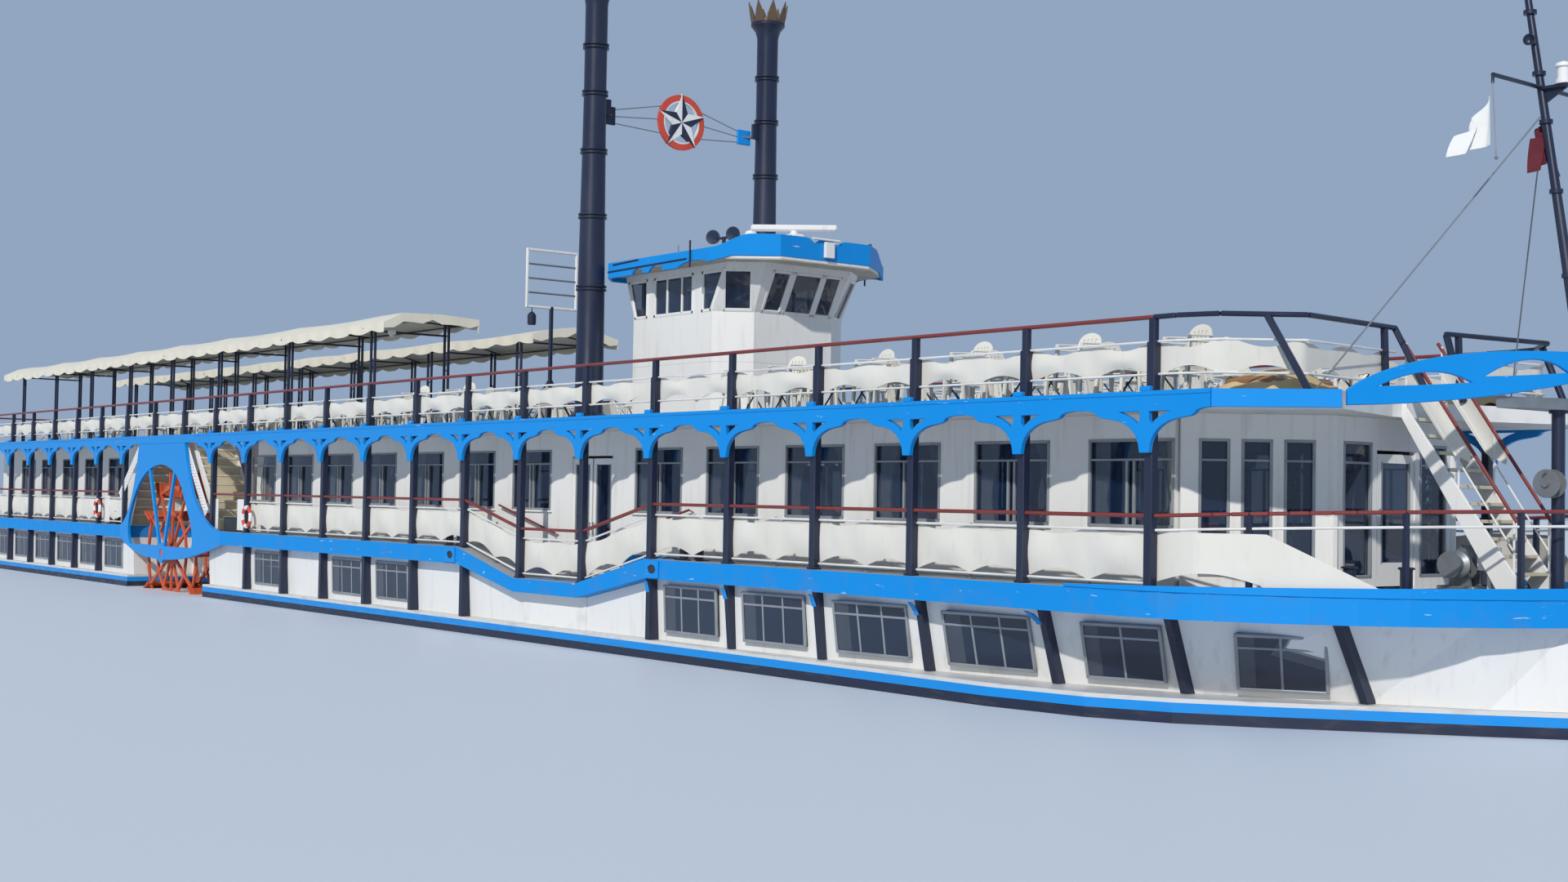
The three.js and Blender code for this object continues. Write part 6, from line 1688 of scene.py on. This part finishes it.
def bow_platform():
    """The deck's point behind the bow board, the pillar under it, and a cable reel on the pillar."""
    work = Work("steel_grey")

    def breadth(x):
        return BOARD_FOOT[1] * (BOARD_PEAK[0] - x) / (BOARD_PEAK[0] - BOARD_FOOT[0]) - 0.09
    half = [(x, breadth(x)) for x in (3.40, 3.84)]
    # The platform is steel grey, darker than the deck, as painted shade under the bow board.
    work.cut_sheet(half + [(x, -y) for x, y in reversed(half)], 0.16, moved(0, 0, 4.53), soft=0.01)
    work.use("navy_paint").tube((3.68, 0, ON_DECK), (3.68, 0, 4.54), 0.09, sides=20)
    for low in (ON_DECK, 4.49):
        work.tube((3.68, 0, low), (3.68, 0, low + 0.04), 0.13, sides=20)
    work.use("steel_grey")
    facing = upright(3.66, -0.10, 3.51)
    work.turned([(0.0, -0.03), (0.045, -0.03), (0.045, 0.0), (0.20, 0.0), (0.20, 0.015), (0.12, 0.025), (0.12, 0.155),
                 (0.20, 0.165), (0.20, 0.18), (0.06, 0.185), (0.05, 0.22), (0.0, 0.22)], facing, 28)
    work.tube((3.66, -0.27, 3.66), (3.66, -0.36, 3.66), 0.016)
    work.even()
    work.piece("bow_platform", slot="white", smooth=40)


windlass()
bow_stair()
bow_platform()
both_sides(stair_cloth, moorings)

# Beside the wheels: stair treads and risers, slatted boards along the frames, low boxes, newel boards, lifebuoys
STAIR_ENDS = ((-34.9, -37.0), (-42.65, -41.15))
SLATTED = (((-37.19, 4.39), (-35.40, 2.41)), ((-41.04, 4.36), (-42.85, 2.84)))
NEWELS = (-35.0, -33.1, -42.75, -44.35)
BOXES = (-33.95, -44.0)
BUOYS = ((-32.25, 2.36), (-44.83, 2.42))


def lifebuoy(work, centre, out):
    """A ring in white and red quarters, hung flat against the rail."""
    place = Matrix.Translation(centre) @ Vector(out).to_track_quat("Z", "Y").to_matrix().to_4x4()
    rim = [(0.26 + 0.06 * cos(i * tau / 12), 0.045 * sin(i * tau / 12)) for i in range(13)]
    work.use("white_paint")
    verts = work.turned(rim, place, 32)
    work.use("signal_red")
    back = place.inverted()
    for face in once(face for vert in verts for face in vert.link_faces):
        spot = back @ face.calc_center_median()
        if int(atan2(spot.y, spot.x) / (pi / 4) + 8.5) % 2:
            face.material_index = work.index


def beside_wheel(name, side):
    work = Work("tread")
    low, high = DECK + 0.003, UPPER_LOW + 0.1
    inner, outer = sorted((side * 2.96, side * 4.04))
    for foot, head in STAIR_ENDS:
        lean = copysign(1, foot - head)
        before = low
        for i in range(1, 10):
            share = i / 10
            x, z = foot + (head - foot) * share, low + 0.072 + (high - low - 0.11) * share
            work.use("tread").block((x - 0.115, x + 0.115), (inner, outer), (z + 0.021, z + 0.04), 0.004)
            front = x + lean * 0.085
            work.block((front - 0.008, front + 0.008), (inner, outer), (before + 0.01, z + 0.02))
            before = z + 0.02
    work.use("white_paint")
    for (x0, z0), (x1, z1) in SLATTED:
        start, end = Vector((x0, side * 4.27, z0)), Vector((x1, side * 4.27, z1))
        work.beam(start, end, 0.30, 0.03, 0.008, (0, 1, 0))
        steps = 22
        for i in range(1, steps):
            spot = start.lerp(end, i / steps)
            work.post(spot.x, spot.y, 0.16, 0.035, (spot.z - 0.012, spot.z + 0.012), 0.004)
    for x in NEWELS:
        work.post(x, side * 4.17, 0.22, 0.02, (DECK + 0.05, DECK + 0.92), 0.012)
    # The low boxes are painted black, in the near-black that also serves as painted shade
    work.use("dark_inside")
    for x in BOXES:
        work.post(x, side * 4.05, 0.46, 0.1, (ON_DECK, DECK + 0.40), 0.02)
        work.use("steel_grey").post(x, side * 4.05, 0.48, 0.12, (DECK + 0.40, DECK + 0.43), 0.01)
        work.use("dark_inside")
    for x, z in BUOYS:
        lifebuoy(work, (x, side * 4.345, z), (0, side, 0))
    work.piece(f"beside_wheel_{name}", slot="white")


both_sides(beside_wheel)

# Upper deck: light plastic chairs round tables, spare chairs in stacks by the rail, and covers in the bow
STACKED = (0.05, -2.05, -4.4, -6.8, -9.2, -21.6, -23.9)
TABLES = (-1.6, -4.0, -6.4, -8.8, -11.2, -20.4, -22.8, -25.2, -28.5, -30.9, -34.4, -36.8, -39.6, -43.4, -47.2, -51.2,
          -55.2)
SEATS = ((0.68, 0.0, 180), (-0.68, 0.05, 0), (0.05, 0.68, -90), (-0.04, -0.68, 90))


def plastic_chair():
    """A one-piece moulded chair with arms, facing +x."""
    made = Work("plastic_cream")
    made.block((-0.22, 0.23), (-0.23, 0.23), (0.41, 0.44), 0.012)
    back = [(-0.22, 0.0), (0.22, 0.0), (0.23, 0.26)]
    back += curve((0.23, 0.26), ((0.21, 0.42), (0.0, 0.43), 5), ((-0.21, 0.42), (-0.23, 0.26), 5)) + [(-0.23, 0.26)]
    lean = moved(-0.21, 0, 0.42) @ Matrix.Rotation(radians(-13), 4, "Y")
    slots = [[(y - 0.012, 0.08), (y + 0.012, 0.08), (y + 0.012, 0.33), (y - 0.012, 0.33)]
             for y in (-0.12, -0.04, 0.04, 0.12)]
    made.cut_sheet(back, 0.022, lean @ frame_of((0, 0, 0), (0, 1, 0), (0, 0, 1)), slots)
    for side in (-1, 1):
        made.beam((-0.26, side * 0.24, 0.66), (0.20, side * 0.25, 0.64), 0.05, 0.025, 0.008)
        made.beam((0.19, side * 0.25, 0.65), (0.25, side * 0.25, 0.0), 0.05, 0.04, 0.0, (1, 0, 0))
        made.beam((-0.20, side * 0.21, 0.43), (-0.27, side * 0.23, 0.0), 0.045, 0.04, 0.0, (1, 0, 0))
    return made


def deck_table():
    made = Work("plastic_cream")
    made.block((-0.42, 0.42), (-0.42, 0.42), (0.70, 0.73), 0.012)
    made.use("navy_paint")
    for y in (-0.34, 0.34):
        for lean in (-1, 1):
            made.tube((0.36 * lean, y, 0.0), (-0.30 * lean, y, 0.70), 0.016, sides=6)
    for x in (-0.36, 0.36):
        made.tube((x, -0.34, 0.02), (x, 0.34, 0.02), 0.014, sides=6)
    return made


def upper_furniture(name, side):
    work = Work("plastic_cream")
    seat, table = plastic_chair(), deck_table()
    for x in STACKED:
        for i in range(3):
            turn = Matrix.Rotation(radians(side * 90 + (x * 37) % 17 - 8), 4, "Z")
            work.stamp(seat, moved(x, side * 3.55, ON_UPPER + 0.085 * i) @ turn)
    for i, x in enumerate(TABLES):
        y = side * (2.45 if x > -24 else 2.15)
        work.stamp(table, moved(x, y, ON_UPPER))
        for j, (dx, dy, facing) in enumerate(SEATS):
            askew = (i * 53 + j * 29) % 31 - 15
            if abs(y + dy) > 3.0 and x < -26:
                continue
            turn = Matrix.Rotation(radians(facing + askew), 4, "Z")
            work.stamp(seat, moved(x + dx, y + dy, ON_UPPER) @ turn)
    for made in (seat, table):
        made.bm.free()
    work.piece(f"upper_furniture_{name}", slot="white")


def folded_cover(name, side):
    """A tan cover thrown over a low pile in the bow."""
    work = Work("table_wood")
    work.block((0.25, 1.15), (side * 2.3 - 0.7, side * 2.3 + 0.7), (ON_UPPER, UPPER + 0.26), 0.05)
    work.piece(f"bow_locker_{name}", slot="white")
    cover = Work("cover_tan")

    def place(along, up):
        u, v = along * 2 - 1, up * 2 - 1
        fall = max(abs(u), abs(v)) ** 5
        ripple = 0.022 * sin(9 * u + 3 * v) * sin(7 * v + side)
        rise = 0.34 + 0.06 * cos(4.2 * v) - 0.30 * fall + ripple * (1 - 0.4 * fall)
        return (0.70 + 0.56 * u, side * (2.3 + 0.86 * v), UPPER + rise)
    hang(cover, 24, 30, place)
    cloth_piece(cover, f"bow_cover_{name}", "rail_cloth", (1.41, 1.95))


both_sides(upper_furniture, folded_cover)
